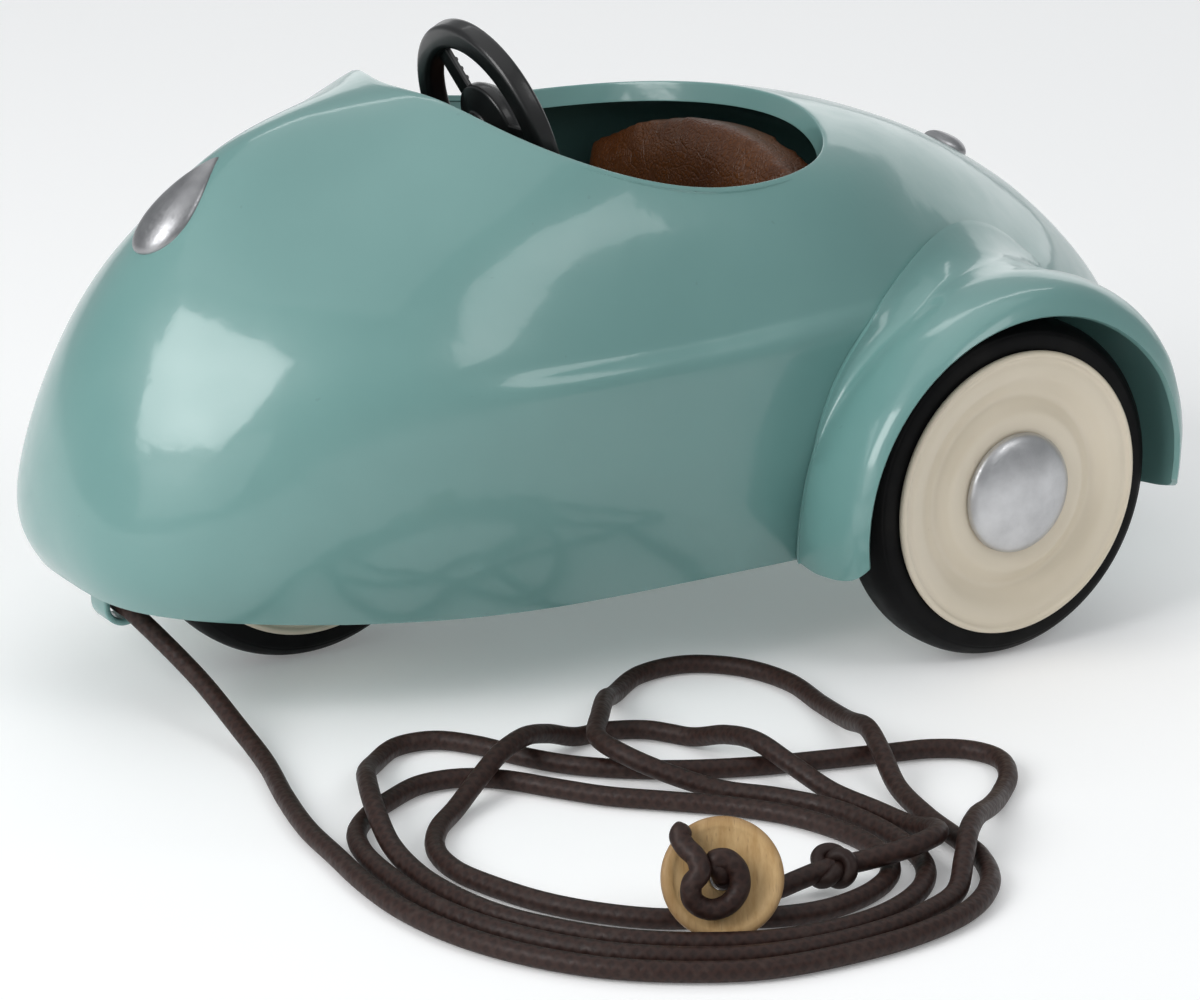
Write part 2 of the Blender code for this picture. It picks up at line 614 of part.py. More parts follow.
def fender_radius(column, degrees):
    """Radius of a fender's outside, fuller over the crown and drawn in at the rear end."""
    off = min(abs(degrees - FENDER_SWELL_AT) / FENDER_SWELL_SPAN, 1.0)
    swell = FENDER_SWELL * FENDER_SWELL_SHARE[column] * math.cos(off * math.pi / 2) ** 2
    tuck = FENDER_TUCK * max(0.0, degrees - FENDER_TUCK_FROM) / (FENDER_END - FENDER_TUCK_FROM)
    base = FENDER_PROFILE[column - 1][1] if column else FENDER_ROOT_R
    return base + swell - tuck


def fender_place(radius, degrees):
    """(x, z) at a radius and an angle about the fenders' centre."""
    angle = math.radians(degrees)
    return FENDER_CENTRE[0] + radius * math.cos(angle), FENDER_CENTRE[1] + radius * math.sin(angle)


def fender_point(column, degrees, side):
    """A place on a fender's outside; column 0 follows the body's side."""
    radius = fender_radius(column, degrees)
    x, z = fender_place(radius, degrees)
    if column:
        return Vector((x, side * FENDER_PROFILE[column - 1][0], z))
    inner_x, inner_z = fender_place(radius - SHEET, degrees)
    reach = [skin_y(px, max(pz, FENDER_LOWEST)) for px, pz in ((x, z), (inner_x, inner_z))]
    return Vector((x, side * (max(reach) + 2 * GAP), z))


def drawn_in(degrees, lift):
    """Angle moved away from the fender's nearer end, for its rounded corners."""
    from_end = min(degrees - FENDER_START, FENDER_END - degrees)
    shift = lift * max(0.0, 1.0 - from_end / FENDER_CORNER_SPAN)
    return degrees + shift if degrees < FENDER_SWELL_AT else degrees - shift


def add_fender(name, side):
    """Arched cover over a rear wheel, from the body's side to a turned-down outer edge."""
    bm = bmesh.new()
    grid = []
    for degrees in np.linspace(FENDER_START, FENDER_END, FENDER_STEPS + 1):
        row = []
        for column, lift in enumerate(FENDER_CORNER):
            row.append(bm.verts.new(fender_point(column, drawn_in(degrees, lift), side) * MM))
        grid.append(row)
    for a, b in zip(grid, grid[1:]):
        for j in range(len(FENDER_CORNER) - 1):
            bm.faces.new((a[j], a[j + 1], b[j + 1], b[j])[::side])
    bmesh.ops.remove_doubles(bm, verts=bm.verts, dist=0.00001)
    mesh = bpy.data.meshes.new(name)
    bm.to_mesh(mesh)
    bm.free()
    mesh.shade_smooth()
    obj = add_object(name, mesh, teal_paint)
    solid = obj.modifiers.new("sheet", "SOLIDIFY")
    solid.thickness = SHEET * MM
    solid.offset = -1.0
    solid.use_even_offset = True


# --- Lamps -------------------------------------------------------------------------

def lamp_base(point, out):
    """Place just off the skin under a point, looking along out."""
    start = (point + out * 20) * MM
    hit = body_surface.ray_cast(start, -out)[0]
    return hit / MM + out * GAP * 1.4


def teardrop(angle):
    """Outline of a lamp as (0 at the blunt end to 1 at the tip, half-width from -1 to 1)."""
    widest = math.sin(math.radians(60)) * math.cos(math.radians(30)) ** 2
    return (1 - math.cos(angle)) / 2, math.sin(angle) * math.cos(angle / 2) ** 2 / widest


def add_lamp(name, blunt, tip, half_width, height):
    """Teardrop pod on the body's centre line, its underside following the skin."""
    blunt = Vector((blunt[0], 0.01, blunt[1]))
    tip = Vector((tip[0], 0.01, tip[1]))
    length = (tip - blunt).length
    along = (tip - blunt) / length
    out = Vector((-along.z, 0, along.x))
    if out.z < 0:
        out = -out
    bm = bmesh.new()
    layers = ([], [])
    for rho in (1.0, 0.94, 0.78, 0.5):
        top, base = [], []
        for i in range(LAMP_SIDES):
            s, y = teardrop(2 * math.pi * i / LAMP_SIDES)
            s = LAMP_HEART + (s - LAMP_HEART) * rho
            foot = lamp_base(blunt + along * length * s + Vector((0, y * rho * half_width, 0)), out)
            base.append(bm.verts.new(foot * MM))
            lift = out * height * math.sqrt(1 - rho * rho)
            top.append(base[-1] if rho == 1.0 else bm.verts.new((foot + lift) * MM))
        layers[0].append(base)
        layers[1].append(top)
    heart = lamp_base(blunt + along * length * LAMP_HEART, out)
    for rings, lift in zip(layers, (0.0, height)):
        middle = bm.verts.new((heart + out * lift) * MM)
        for outer, inner in zip(rings, rings[1:]):
            for i in range(LAMP_SIDES):
                j = (i + 1) % LAMP_SIDES
                bm.faces.new((outer[i], outer[j], inner[j], inner[i]))
        for i in range(LAMP_SIDES):
            bm.faces.new((rings[-1][i], rings[-1][(i + 1) % LAMP_SIDES], middle))
    add_object(name, mesh_from(bm, name), silver_paint)


# --- Seat --------------------------------------------------------------------------

def add_bench():
    """Sheet bench: an inverted U across the body with feet turned out on the floor pan."""
    rear, front = BENCH_X
    low = FLOOR_TOP + GAP + SHEET / 2
    path = [(rear - BENCH_FEET[0], low), (rear, low), (rear, BENCH_TOP_Z),
            (front, BENCH_TOP_Z), (front, low), (front + BENCH_FEET[1], low)]
    bench = flat_piece("seat_bench", [bent_strip(path, SHEET)], 2 * BENCH_HALF_Y, teal_paint)
    placed(bench, (0, 0, 0), UPRIGHT_XZ)


def padded(obj, radius):
    bevel = obj.modifiers.new("rounding", "BEVEL")
    bevel.width = radius * MM
    bevel.segments = 2
    bevel.limit_method = "ANGLE"
    return obj


def add_cushions():
    """Seat cushion on the bench and an arched back pad that leans on its rear part."""
    base = BENCH_TOP_Z + SHEET / 2 + GAP
    middle = (CUSHION_X[0] + CUSHION_X[1]) / 2
    outline = rounded_box((CUSHION_X[1] - CUSHION_X[0]) / 2, BENCH_HALF_Y + 2, 6)
    cushion = flat_piece("seat_cushion", [outline], CUSHION_TOP_Z - base, brown_leather)
    padded(placed(cushion, (middle, 0, (base + CUSHION_TOP_Z) / 2)), 3.5)

    lean = math.radians(BACK_LEAN)
    height = (BACK_TOP[1] - base) / math.cos(lean) - BACK_T / 2 * math.tan(lean)
    half_angle = math.degrees(math.asin(BACK_HALF_Y / BACK_ARCH_R))
    arch = arc(0, height - BACK_ARCH_R, BACK_ARCH_R, 90 - half_angle, 90 + half_angle, 12)
    outline = arch + [(-BACK_HALF_Y, 4), (4 - BACK_HALF_Y, 0), (BACK_HALF_Y - 4, 0), (BACK_HALF_Y, 4)]
    back = flat_piece("seat_back", [outline], BACK_T, brown_leather)
    foot_x = BACK_TOP[0] + height * math.sin(lean)
    foot_z = BACK_TOP[1] - height * math.cos(lean)
    padded(placed(back, (foot_x, 0, foot_z), (90 - BACK_LEAN, 0, 90)), 3.0)


# --- Steering ----------------------------------------------------------------------

COLUMN = Vector((math.cos(math.radians(STEER_TILT)), 0, -math.sin(math.radians(STEER_TILT))))
TO_DRIVER = -COLUMN
COLUMN_R = 1.8
COLUMN_END = 40.0             # from the wheel's middle, forwards
DASH_X = 56.0
DASH_CENTRE_Z = 70.0


def union(obj, other):
    boolean = obj.modifiers.new("join_" + other.name, "BOOLEAN")
    boolean.operation = "UNION"
    boolean.object = as_cutter(other)
    boolean.solver = "EXACT"


def add_steering_wheel():
    """Rim, three flat spokes and a domed hub with a blind socket for the column."""
    rim = arc(RING_R, 0, RING_SECTION_R, 180, -180, 8)[:-1]
    wheel = turned("steering_wheel", rim, STEER_HUB, TO_DRIVER, black_enamel, 28)
    socket = COLUMN_R + GAP
    dome = [(0, 5.0), (3.5, 4.6), (6.8, 3.3), (STEER_HUB_R, 1.2), (STEER_HUB_R, -0.6), (4.2, -2.2),
            (4.2, -7.0), (socket, -7.0), (socket, -1.4), (0, -1.4)]
    union(wheel, turned("hub_dome", dome, STEER_HUB, TO_DRIVER, None, 16, cutters))
    for degrees in SPOKE_ANGLES:
        bm = bmesh.new()
        bmesh.ops.create_cube(bm, size=1.0)
        length = RING_R - 5.0
        bmesh.ops.scale(bm, verts=bm.verts, vec=Vector((4.2, length, 1.6)) * MM)
        bmesh.ops.translate(bm, verts=bm.verts, vec=Vector((0, 5.0 + length / 2, 0.2)) * MM)
        spoke = add_object(f"spoke_{degrees}", mesh_from(bm, f"spoke_{degrees}"), None, cutters)
        spoke.location = Vector(STEER_HUB) * MM
        turn = Matrix.Rotation(math.radians(degrees), 3, TO_DRIVER)
        spoke.rotation_euler = (turn @ wheel_frame()).to_euler()
        union(wheel, spoke)


def wheel_frame():
    """Rotation whose Y axis is the steering wheel's top and whose Z axis faces the driver."""
    up = Vector((0, 1, 0)).cross(COLUMN) * -1
    return Matrix((up.cross(TO_DRIVER), up, TO_DRIVER)).transposed()


def dash_outline():
    """Crescent under the cowl, a little inside the skin, as (y, z)."""
    points = []
    for degrees in np.linspace(10, 170, 17):
        angle = math.radians(degrees)
        out = Vector((0, math.cos(angle), math.sin(angle)))
        start = Vector((DASH_X, 0.01, DASH_CENTRE_Z)) * MM
        reach = body_surface.ray_cast(start, out)[3] / MM - 3 * GAP
        points.append((out.y * reach, DASH_CENTRE_Z + out.z * reach))
    return points


def add_steering():
    add_steering_wheel()
    hub = Vector(STEER_HUB)
    start = 1.4 + GAP
    cylinder("steering_column", COLUMN_R, COLUMN_END - start, hub + COLUMN * (COLUMN_END + start) / 2,
             COLUMN, bare_steel)
    plate = flat_piece("dash_plate", [dash_outline()], SHEET, teal_paint)
    placed(plate, (DASH_X, 0, 0), UPRIGHT_YZ)
    through = (DASH_X - STEER_HUB[0]) / COLUMN.x
    drill = cylinder("bush_hole", 4.2 + GAP, 10, hub + COLUMN * through, COLUMN, None, cutters, 20)
    cut(plate, as_cutter(drill))
    bore = COLUMN_R + SPIN_GAP
    ring("column_bush", 4.2, bore, through - 4, through + 4, STEER_HUB, COLUMN, 20)
    ring("column_push_nut", 4.2, bore, through + 4 + GAP, through + 4.9 + GAP, STEER_HUB, COLUMN)


# --- Towing loop -------------------------------------------------------------------

def add_staple():
    """U strap hung under the nose, brazed to the floor pan, its opening facing sideways."""
    mid_r = STAPLE_BEND_R - SHEET / 2
    bend = arc(STAPLE_X, STAPLE_BOTTOM_Z + STAPLE_BEND_R, mid_r, 180, 360, 8)
    top = FLOOR_Z - GAP
    path = [(STAPLE_X - mid_r, top)] + bend + [(STAPLE_X + mid_r, top)]
    strap = flat_piece("tow_staple", [bent_strip(path, SHEET)], 2 * STAPLE_HALF_Y, teal_paint)
    placed(strap, (0, 0, 0), UPRIGHT_XZ)


# --- Pull cord ---------------------------------------------------------------------

def smooth_route(route, per_span=8):
    """Points of a Catmull-Rom curve through a route, kept off the floor."""
    knots = np.array(route, float)
    knots = np.vstack([2 * knots[0] - knots[1], knots, 2 * knots[-1] - knots[-2]])
    points = []
    for a, b, c, d in zip(knots, knots[1:], knots[2:], knots[3:]):
        for t in np.arange(per_span) / per_span:
            points.append(0.5 * (2 * b + (c - a) * t + (2 * a - 5 * b + 4 * c - d) * t ** 2
                                 + (3 * b - a - 3 * c + d) * t ** 3))
    points.append(knots[-2])
    for point in points:
        point[2] = max(point[2], CORD_R + 0.05)
    return [Vector(p) for p in points]


def thinned(points, deviation=1.0, reach=20.0):
    """Keep the points that a straight piece between them would stray from."""
    kept = [points[0]]
    start = 0
    for end in range(2, len(points)):
        chord = points[end] - points[start]
        off = max((p - points[start]).cross(chord).length for p in points[start + 1:end]) / chord.length
        if off > deviation or chord.length > reach:
            kept.append(points[end - 1])
            start = end - 1
    return kept + [points[-1]]


def add_cord(name, route):
    curve = bpy.data.curves.new(name, "CURVE")
    curve.dimensions = "3D"
    curve.bevel_depth = CORD_R * MM
    curve.bevel_resolution = 2
    curve.use_fill_caps = True
    points = thinned(smooth_route(route))
    spline = curve.splines.new("POLY")
    spline.points.add(len(points) - 1)
    for point, place in zip(spline.points, points):
        point.co = (*(place * MM), 1.0)
    add_object(name, curve, waxed_cord)


def add_knot(name, centre, half_sizes, facing=(0, 0, 1)):
    """Outer shape of an overhand knot."""
    bm = bmesh.new()
    bmesh.ops.create_uvsphere(bm, u_segments=12, v_segments=8, radius=1.0)
    bmesh.ops.scale(bm, verts=bm.verts, vec=Vector(half_sizes) * MM)
    knot = add_object(name, mesh_from(bm, name), waxed_cord)
    knot.location = Vector(centre) * MM
    knot.rotation_euler = Vector(facing).to_track_quat("Z", "Y").to_euler()


def add_button():
    """Turned disc with rounded edges, bored for the cord, standing on its edge."""
    half = BUTTON_T / 2
    bore = CORD_R + 2 * GAP
    profile = [(bore, half), (BUTTON_R - 1.2, half), (BUTTON_R - 0.3, half - 0.5), (BUTTON_R, 0),
               (BUTTON_R - 0.3, 0.5 - half), (BUTTON_R - 1.2, -half), (bore, -half)]
    turned("wood_button", profile, BUTTON_CENTRE, BUTTON_FACES, turned_wood, 24)


def add_pull_cord():
    add_knot("staple_knot", (*TOW_HOLE, CORD_ROUTE[0][2] + GAP + KNOT_HALF), (4.2, 4.0, KNOT_HALF))
    add_cord("pull_cord", CORD_ROUTE)
    add_knot("cord_knot", CORD_KNOT, (5.4, 4.4, 4.4))
    face = Vector(BUTTON_FACES).normalized()
    centre = Vector(BUTTON_CENTRE)
    add_cord("button_cord", BUTTON_CORD_ROUTE + (tuple(centre - face * 3.5), tuple(centre + face * 1.6)))
    add_button()
    aside = Vector((0, 0, 1)).cross(face).normalized()
    depth = 3.0
    heart = centre + face * (BUTTON_T / 2 + GAP + depth) - aside
    add_knot("end_knot", heart, (5.4, 4.8, depth), face)


add_floor()
for bracket in BRACKETS:
    add_bracket(*bracket)
add_axles()
add_fender("fender_left", 1)
add_fender("fender_right", -1)
add_lamp("headlamp", *HEADLAMP)
add_lamp("tail_lamp", *TAIL_LAMP)
add_bench()
add_cushions()
add_steering()
add_staple()
add_pull_cord()
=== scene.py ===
"""Looks of the small three-wheeled pull-along car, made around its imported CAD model.

Lengths are in millimetres in the model's frame (+X nose, +Y the car's left, +Z up) unless
a name ends in _M, and are multiplied by MM where a mesh is made.
"""

import json
import math

import bmesh
import bpy
import numpy as np
from mathutils import Matrix, Vector, noise
from mathutils.bvhtree import BVHTree


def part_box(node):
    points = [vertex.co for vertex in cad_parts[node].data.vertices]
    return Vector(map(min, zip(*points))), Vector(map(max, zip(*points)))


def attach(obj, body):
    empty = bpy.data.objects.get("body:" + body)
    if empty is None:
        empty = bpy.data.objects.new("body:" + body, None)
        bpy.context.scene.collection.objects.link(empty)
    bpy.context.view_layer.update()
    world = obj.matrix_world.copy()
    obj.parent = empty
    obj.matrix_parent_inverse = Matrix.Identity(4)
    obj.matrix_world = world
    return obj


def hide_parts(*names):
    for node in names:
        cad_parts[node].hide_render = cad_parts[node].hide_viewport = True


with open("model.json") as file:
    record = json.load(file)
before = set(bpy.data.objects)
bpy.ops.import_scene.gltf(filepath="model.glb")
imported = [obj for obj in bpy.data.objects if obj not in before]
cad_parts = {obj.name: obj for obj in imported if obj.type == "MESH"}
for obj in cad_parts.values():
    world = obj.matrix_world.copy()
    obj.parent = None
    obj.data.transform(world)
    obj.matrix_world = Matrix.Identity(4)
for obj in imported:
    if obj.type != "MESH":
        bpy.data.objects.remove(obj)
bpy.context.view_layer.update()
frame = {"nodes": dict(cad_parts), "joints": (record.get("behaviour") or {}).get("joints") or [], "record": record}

MM = 0.001
scene = bpy.context.scene
joints = {joint["child"]: joint for joint in frame["joints"]}


def low_of(node):
    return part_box(node)[0] / MM


def high_of(node):
    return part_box(node)[1] / MM


def middle_of(node):
    return (low_of(node) + high_of(node)) / 2


# --- Camera ---

CAMERA_PLACE = (406.6, 634.3, 269.9)
CAMERA_TURN = 32.51           # degrees from looking along -Y towards -X
CAMERA_DOWN = 18.53


def add_camera():
    turn, down = math.radians(CAMERA_TURN), math.radians(CAMERA_DOWN)
    data = bpy.data.cameras.new("camera")
    data.lens = 120
    data.sensor_width = 36
    data.clip_start = 0.01
    camera = bpy.data.objects.new("camera", data)
    scene.collection.objects.link(camera)
    camera.location = Vector(CAMERA_PLACE) * MM
    look = Vector((-math.sin(turn) * math.cos(down), -math.cos(turn) * math.cos(down), -math.sin(down)))
    camera.rotation_euler = look.to_track_quat("-Z", "Y").to_euler()
    scene.camera = camera


add_camera()
scene.view_settings.view_transform = "Standard"


# --- Materials ---

def material(name, **values):
    """A material whose Principled shader has these values; a name's _ stands for a space."""
    mat = bpy.data.materials.new(name)
    mat.use_nodes = True
    shader = mat.node_tree.nodes["Principled BSDF"]
    for socket, value in values.items():
        value = (*value, 1.0) if isinstance(value, tuple) else value
        shader.inputs[socket.replace("_", " ")].default_value = value
    return mat


def node(mat, kind, inputs=None, **properties):
    """Add a shader node; an input is a value or another node's output."""
    made = mat.node_tree.nodes.new("ShaderNode" + kind)
    for key, value in properties.items():
        setattr(made, key, value)
    for key, value in (inputs or {}).items():
        if isinstance(value, bpy.types.NodeSocket):
            mat.node_tree.links.new(value, made.inputs[key])
        else:
            made.inputs[key].default_value = value
    return made


def coordinates(mat, scale=(1, 1, 1)):
    source = node(mat, "TexCoord").outputs["Object"]
    return node(mat, "Mapping", {"Vector": source, "Scale": scale}).outputs["Vector"]


def noise_at(mat, vector, scale, detail=2.0, roughness=0.5):
    inputs = {"Vector": vector, "Scale": scale, "Detail": detail, "Roughness": roughness}
    return node(mat, "TexNoise", inputs).outputs["Fac"]


def maths(mat, operation, a, b=0.0):
    return node(mat, "Math", {0: a, 1: b}, operation=operation).outputs[0]


def ramp(mat, factor, low, high, start, end):
    """Map a factor from low..high to start..end, held past both."""
    inputs = {"Value": factor, "From Min": low, "From Max": high, "To Min": start, "To Max": end}
    return node(mat, "MapRange", inputs).outputs["Result"]


def blended(mat, factor, first, second):
    """Colour between two colours."""
    made = node(mat, "Mix", data_type="RGBA")
    sockets = {socket.name: socket for socket in made.inputs if socket.type == "RGBA"}
    sockets["Factor"] = made.inputs[0]
    for key, value in (("Factor", factor), ("A", first), ("B", second)):
        if isinstance(value, bpy.types.NodeSocket):
            mat.node_tree.links.new(value, sockets[key])
        else:
            sockets[key].default_value = (*value, 1.0) if isinstance(value, tuple) else value
    return next(socket for socket in made.outputs if socket.type == "RGBA")


def finish_material(mat, colour=None, roughness=None, bumps=()):
    """Link colour and roughness, and chain bumps given as (height, depth in mm)."""
    shader = mat.node_tree.nodes["Principled BSDF"]
    if colour is not None:
        mat.node_tree.links.new(colour, shader.inputs["Base Color"])
    if roughness is not None:
        mat.node_tree.links.new(roughness, shader.inputs["Roughness"])
    normal = None
    for height, depth in bumps:
        inputs = {"Height": height, "Distance": depth * MM, "Strength": 1.0}
        if normal is not None:
            inputs["Normal"] = normal
        normal = node(mat, "Bump", inputs).outputs["Normal"]
    if normal is not None:
        mat.node_tree.links.new(normal, shader.inputs["Normal"])
        if shader.inputs["Coat Weight"].default_value > 0:
            mat.node_tree.links.new(normal, shader.inputs["Coat Normal"])
    return mat


def enamel(name, colour, shade, roughness=0.36, coat=0.66, coat_roughness=0.095, peel=0.024):
    """Sprayed gloss paint: faint mottling, orange peel and a few specks."""
    mat = material(name, Coat_Weight=coat, Coat_Roughness=coat_roughness, Coat_IOR=1.5)
    place = coordinates(mat)
    mottle = ramp(mat, noise_at(mat, place, 26, 3), 0.35, 0.65, 0.0, 1.0)
    tint = blended(mat, mottle, colour, shade)
    speck_noise = noise_at(mat, place, 620, 1)
    specks = ramp(mat, speck_noise, 0.80, 0.82, 0.0, 0.14)
    tint = blended(mat, specks, tint, tuple(0.35 * c for c in colour))
    rough = ramp(mat, noise_at(mat, place, 90, 3), 0.3, 0.7, roughness - 0.05, roughness + 0.05)
    fine = noise_at(mat, place, 420, 1.5)
    wave = noise_at(mat, place, 75, 1.0)
    return finish_material(mat, tint, rough, [(wave, peel * 9), (fine, peel)])


def add_materials():
    made = {}
    made["body"] = enamel("teal_enamel", (0.150, 0.305, 0.287), (0.136, 0.286, 0.270))
    made["cream"] = enamel("cream_enamel", (0.74, 0.655, 0.52), (0.69, 0.605, 0.47),
                           roughness=0.42, coat=0.35, coat_roughness=0.16, peel=0.012)
    made["black"] = enamel("black_gloss", (0.0035, 0.0035, 0.0038), (0.006, 0.0057, 0.0057),
                           roughness=0.38, coat=0.22, coat_roughness=0.1, peel=0.014)
    made["silver"] = silver_paint("silver_lacquer", (0.62, 0.62, 0.63), (0.46, 0.46, 0.47))
    # The lamp pods' lacquer is the hub caps' silver lacquer made darker: painted shade standing in for the darker
    # surroundings that the lamps reflect
    made["lamp"] = silver_paint("silver_lacquer_shaded", (0.40, 0.40, 0.41), (0.25, 0.25, 0.26))
    made["rubber"] = tyre_rubber()
    made["steel"] = plain_steel()
    made["leather"] = brown_leather()
    made["cord"] = waxed_cord()
    made["wood"] = turned_wood()
    return made


def silver_paint(name, colour, shade):
    """Aluminium lacquer with a fine metal-flake grain."""
    mat = material(name, Metallic=0.9, Coat_Weight=0.15, Coat_Roughness=0.25)
    place = coordinates(mat)
    flake = noise_at(mat, place, 1900, 2)
    cloud = noise_at(mat, place, 140, 3)
    tint = blended(mat, ramp(mat, cloud, 0.3, 0.7, 0.0, 1.0), colour, shade)
    rough = ramp(mat, flake, 0.3, 0.7, 0.3, 0.46)
    return finish_material(mat, tint, rough, [(flake, 0.022), (cloud, 0.05)])


def tyre_rubber():
    mat = material("tyre_rubber", Specular_IOR_Level=0.1)
    place = coordinates(mat)
    dust = ramp(mat, noise_at(mat, place, 95, 4), 0.45, 0.75, 0.0, 1.0)
    tint = blended(mat, dust, (0.0035, 0.0035, 0.0038), (0.0075, 0.0072, 0.007))
    rough = ramp(mat, noise_at(mat, place, 240, 3), 0.3, 0.7, 0.44, 0.6)
    return finish_material(mat, tint, rough, [(noise_at(mat, place, 1500, 2), 0.012)])


def plain_steel():
    """Drawn and zinc-dulled steel: streaks, spots and a fine grain."""
    mat = material("plain_steel", Metallic=1.0)
    place = coordinates(mat)
    streak = noise_at(mat, coordinates(mat, scale=(1, 0.08, 1)), 1400, 2)
    spots = ramp(mat, noise_at(mat, place, 210, 4), 0.52, 0.7, 0.0, 1.0)
    tint = blended(mat, spots, (0.44, 0.44, 0.45), (0.27, 0.25, 0.235))
    rough = ramp(mat, streak, 0.3, 0.7, 0.26, 0.44)
    return finish_material(mat, tint, rough, [(streak, 0.008)])


def brown_leather():
    """Aniline leather: pebbled cells between fine creases, darker in the creases."""
    edges = "DISTANCE_TO_EDGE"
    mat = material("brown_leather", Specular_IOR_Level=0.36)
    place = coordinates(mat)
    bend = node(mat, "TexNoise", {"Vector": place, "Scale": 160.0, "Detail": 2.0}).outputs["Color"]
    pushed = node(mat, "VectorMath", {0: bend, "Scale": 0.0022}, operation="SCALE").outputs[0]
    warped = node(mat, "VectorMath", {0: place, 1: pushed}, operation="ADD").outputs[0]
    cell = node(mat, "TexVoronoi", {"Vector": warped, "Scale": 1050.0}, feature=edges).outputs[0]
    grain = ramp(mat, cell, 0.0, 0.22, 0.0, 1.0)
    crease_cell = node(mat, "TexVoronoi", {"Vector": warped, "Scale": 210.0}, feature=edges).outputs[0]
    crease = ramp(mat, crease_cell, 0.0, 0.07, 0.0, 1.0)
    cloud = ramp(mat, noise_at(mat, place, 60, 4), 0.3, 0.7, 0.0, 1.0)
    tint = blended(mat, cloud, (0.108, 0.034, 0.0058), (0.062, 0.0170, 0.0035))
    tint = blended(mat, ramp(mat, grain, 0.0, 1.0, 0.45, 0.0), tint, (0.035, 0.011, 0.005))
    rough = ramp(mat, noise_at(mat, place, 300, 3), 0.3, 0.7, 0.3, 0.46)
    return finish_material(mat, tint, rough, [(crease, 0.07), (grain, 0.07)])


BRAID_STRANDS = 8
BRAID_PITCH = 2.2             # length in which the braid's pattern repeats


def waxed_cord():
    """Tight round braid under wax, its strands' crowns painted lighter and the hollows between them painted darker
    as painted sheen and painted shade; U counts millimetres along the cord and V its turn.
    """
    mat = material("waxed_braid", Specular_IOR_Level=0.3)
    split = node(mat, "SeparateXYZ", {0: node(mat, "TexCoord").outputs["UV"]})
    along, turn = split.outputs[0], split.outputs[1]
    lean = maths(mat, "MULTIPLY", along, 2 * math.pi / BRAID_PITCH)
    spin = maths(mat, "MULTIPLY", turn, 2 * math.pi * BRAID_STRANDS / 2)
    first = maths(mat, "SINE", maths(mat, "ADD", lean, spin))
    second = maths(mat, "SINE", maths(mat, "SUBTRACT", lean, spin))
    weave = maths(mat, "MAXIMUM", first, second)
    height = ramp(mat, weave, -0.4, 1.0, 0.0, 1.0)
    place = coordinates(mat)
    wax = noise_at(mat, place, 420, 4)
    # Painted sheen and painted shade: the weave's crowns keep the lighter brown and its hollows turn darker, for
    # light on the strands and shade between them
    hollow = ramp(mat, height, 0.2, 0.9, 1.0, 0.0)
    tint = blended(mat, hollow, (0.031, 0.0135, 0.0100), (0.019, 0.0080, 0.0060))
    bloom = ramp(mat, wax, 0.56, 0.72, 0.0, 0.5)
    tint = blended(mat, bloom, tint, (0.055, 0.036, 0.03))
    rough = ramp(mat, wax, 0.3, 0.7, 0.42, 0.62)
    return finish_material(mat, tint, rough, [(height, 0.032), (wax, 0.07)])


def turned_wood():
    """Pale close-grained wood: faint rings across the face and a toasted rim."""
    mat = material("turned_wood", Specular_IOR_Level=0.35)
    rings = noise_at(mat, coordinates(mat, scale=(1, 0.22, 1)), 640, 5, 0.6)
    pores = noise_at(mat, coordinates(mat, scale=(1, 0.1, 1)), 2600, 2)
    tint = blended(mat, ramp(mat, rings, 0.35, 0.65, 0.0, 1.0), (0.62, 0.42, 0.205), (0.47, 0.29, 0.12))
    split = node(mat, "SeparateXYZ", {0: coordinates(mat)})
    square_x = maths(mat, "MULTIPLY", split.outputs[0], split.outputs[0])
    square_y = maths(mat, "MULTIPLY", split.outputs[1], split.outputs[1])
    radius = maths(mat, "SQRT", maths(mat, "ADD", square_x, square_y))
    toast = ramp(mat, radius, 0.0084, 0.0102, 0.0, 0.75)
    tint = blended(mat, toast, tint, (0.20, 0.105, 0.042))
    tint = blended(mat, ramp(mat, pores, 0.62, 0.75, 0.0, 0.5), tint, (0.17, 0.085, 0.035))
    rough = ramp(mat, rings, 0.3, 0.7, 0.5, 0.66)
    return finish_material(mat, tint, rough, [(rings, 0.04), (pores, 0.03)])


paints = add_materials()


# --- Mesh making ---

def grid_mesh(name, grid, wrap_rows=False, wrap_columns=False, caps=False, uv=None):
    """Mesh over a grid of points in millimetres, closed up where rows or columns wrap.

    caps closes the first and the last row; uv gives (u of row, v of column).
    """
    grid = np.asarray(grid, float)
    rows, columns, _ = grid.shape
    index = np.arange(rows * columns).reshape(rows, columns)
    right = np.roll(index, -1, axis=1) if wrap_columns else index[:, 1:]
    left = index if wrap_columns else index[:, :-1]
    below = slice(0, rows) if wrap_rows else slice(0, rows - 1)
    next_left = np.roll(left, -1, axis=0)
    next_right = np.roll(right, -1, axis=0)
    quads = np.stack([left[below], right[below], next_right[below], next_left[below]], axis=-1)
    faces = quads.reshape(-1, 4).tolist()
    if caps:
        faces += [index[0][::-1].tolist(), index[-1].tolist()]
    mesh = bpy.data.meshes.new(name)
    mesh.from_pydata((grid.reshape(-1, 3) * MM).tolist(), [], faces)
    if uv is not None:
        lengthwise, around = uv
        layer = mesh.uv_layers.new(name="UVMap")
        coords = [(lengthwise[i + du], around[j + dv]) for i in range(rows - 1) for j in range(columns)
                  for du, dv in ((0, 0), (0, 1), (1, 1), (1, 0))]
        coords += [(0.0, 0.0)] * (len(mesh.loops) - len(coords))
        layer.data.foreach_set("uv", np.array(coords, np.float32).ravel())
    return mesh


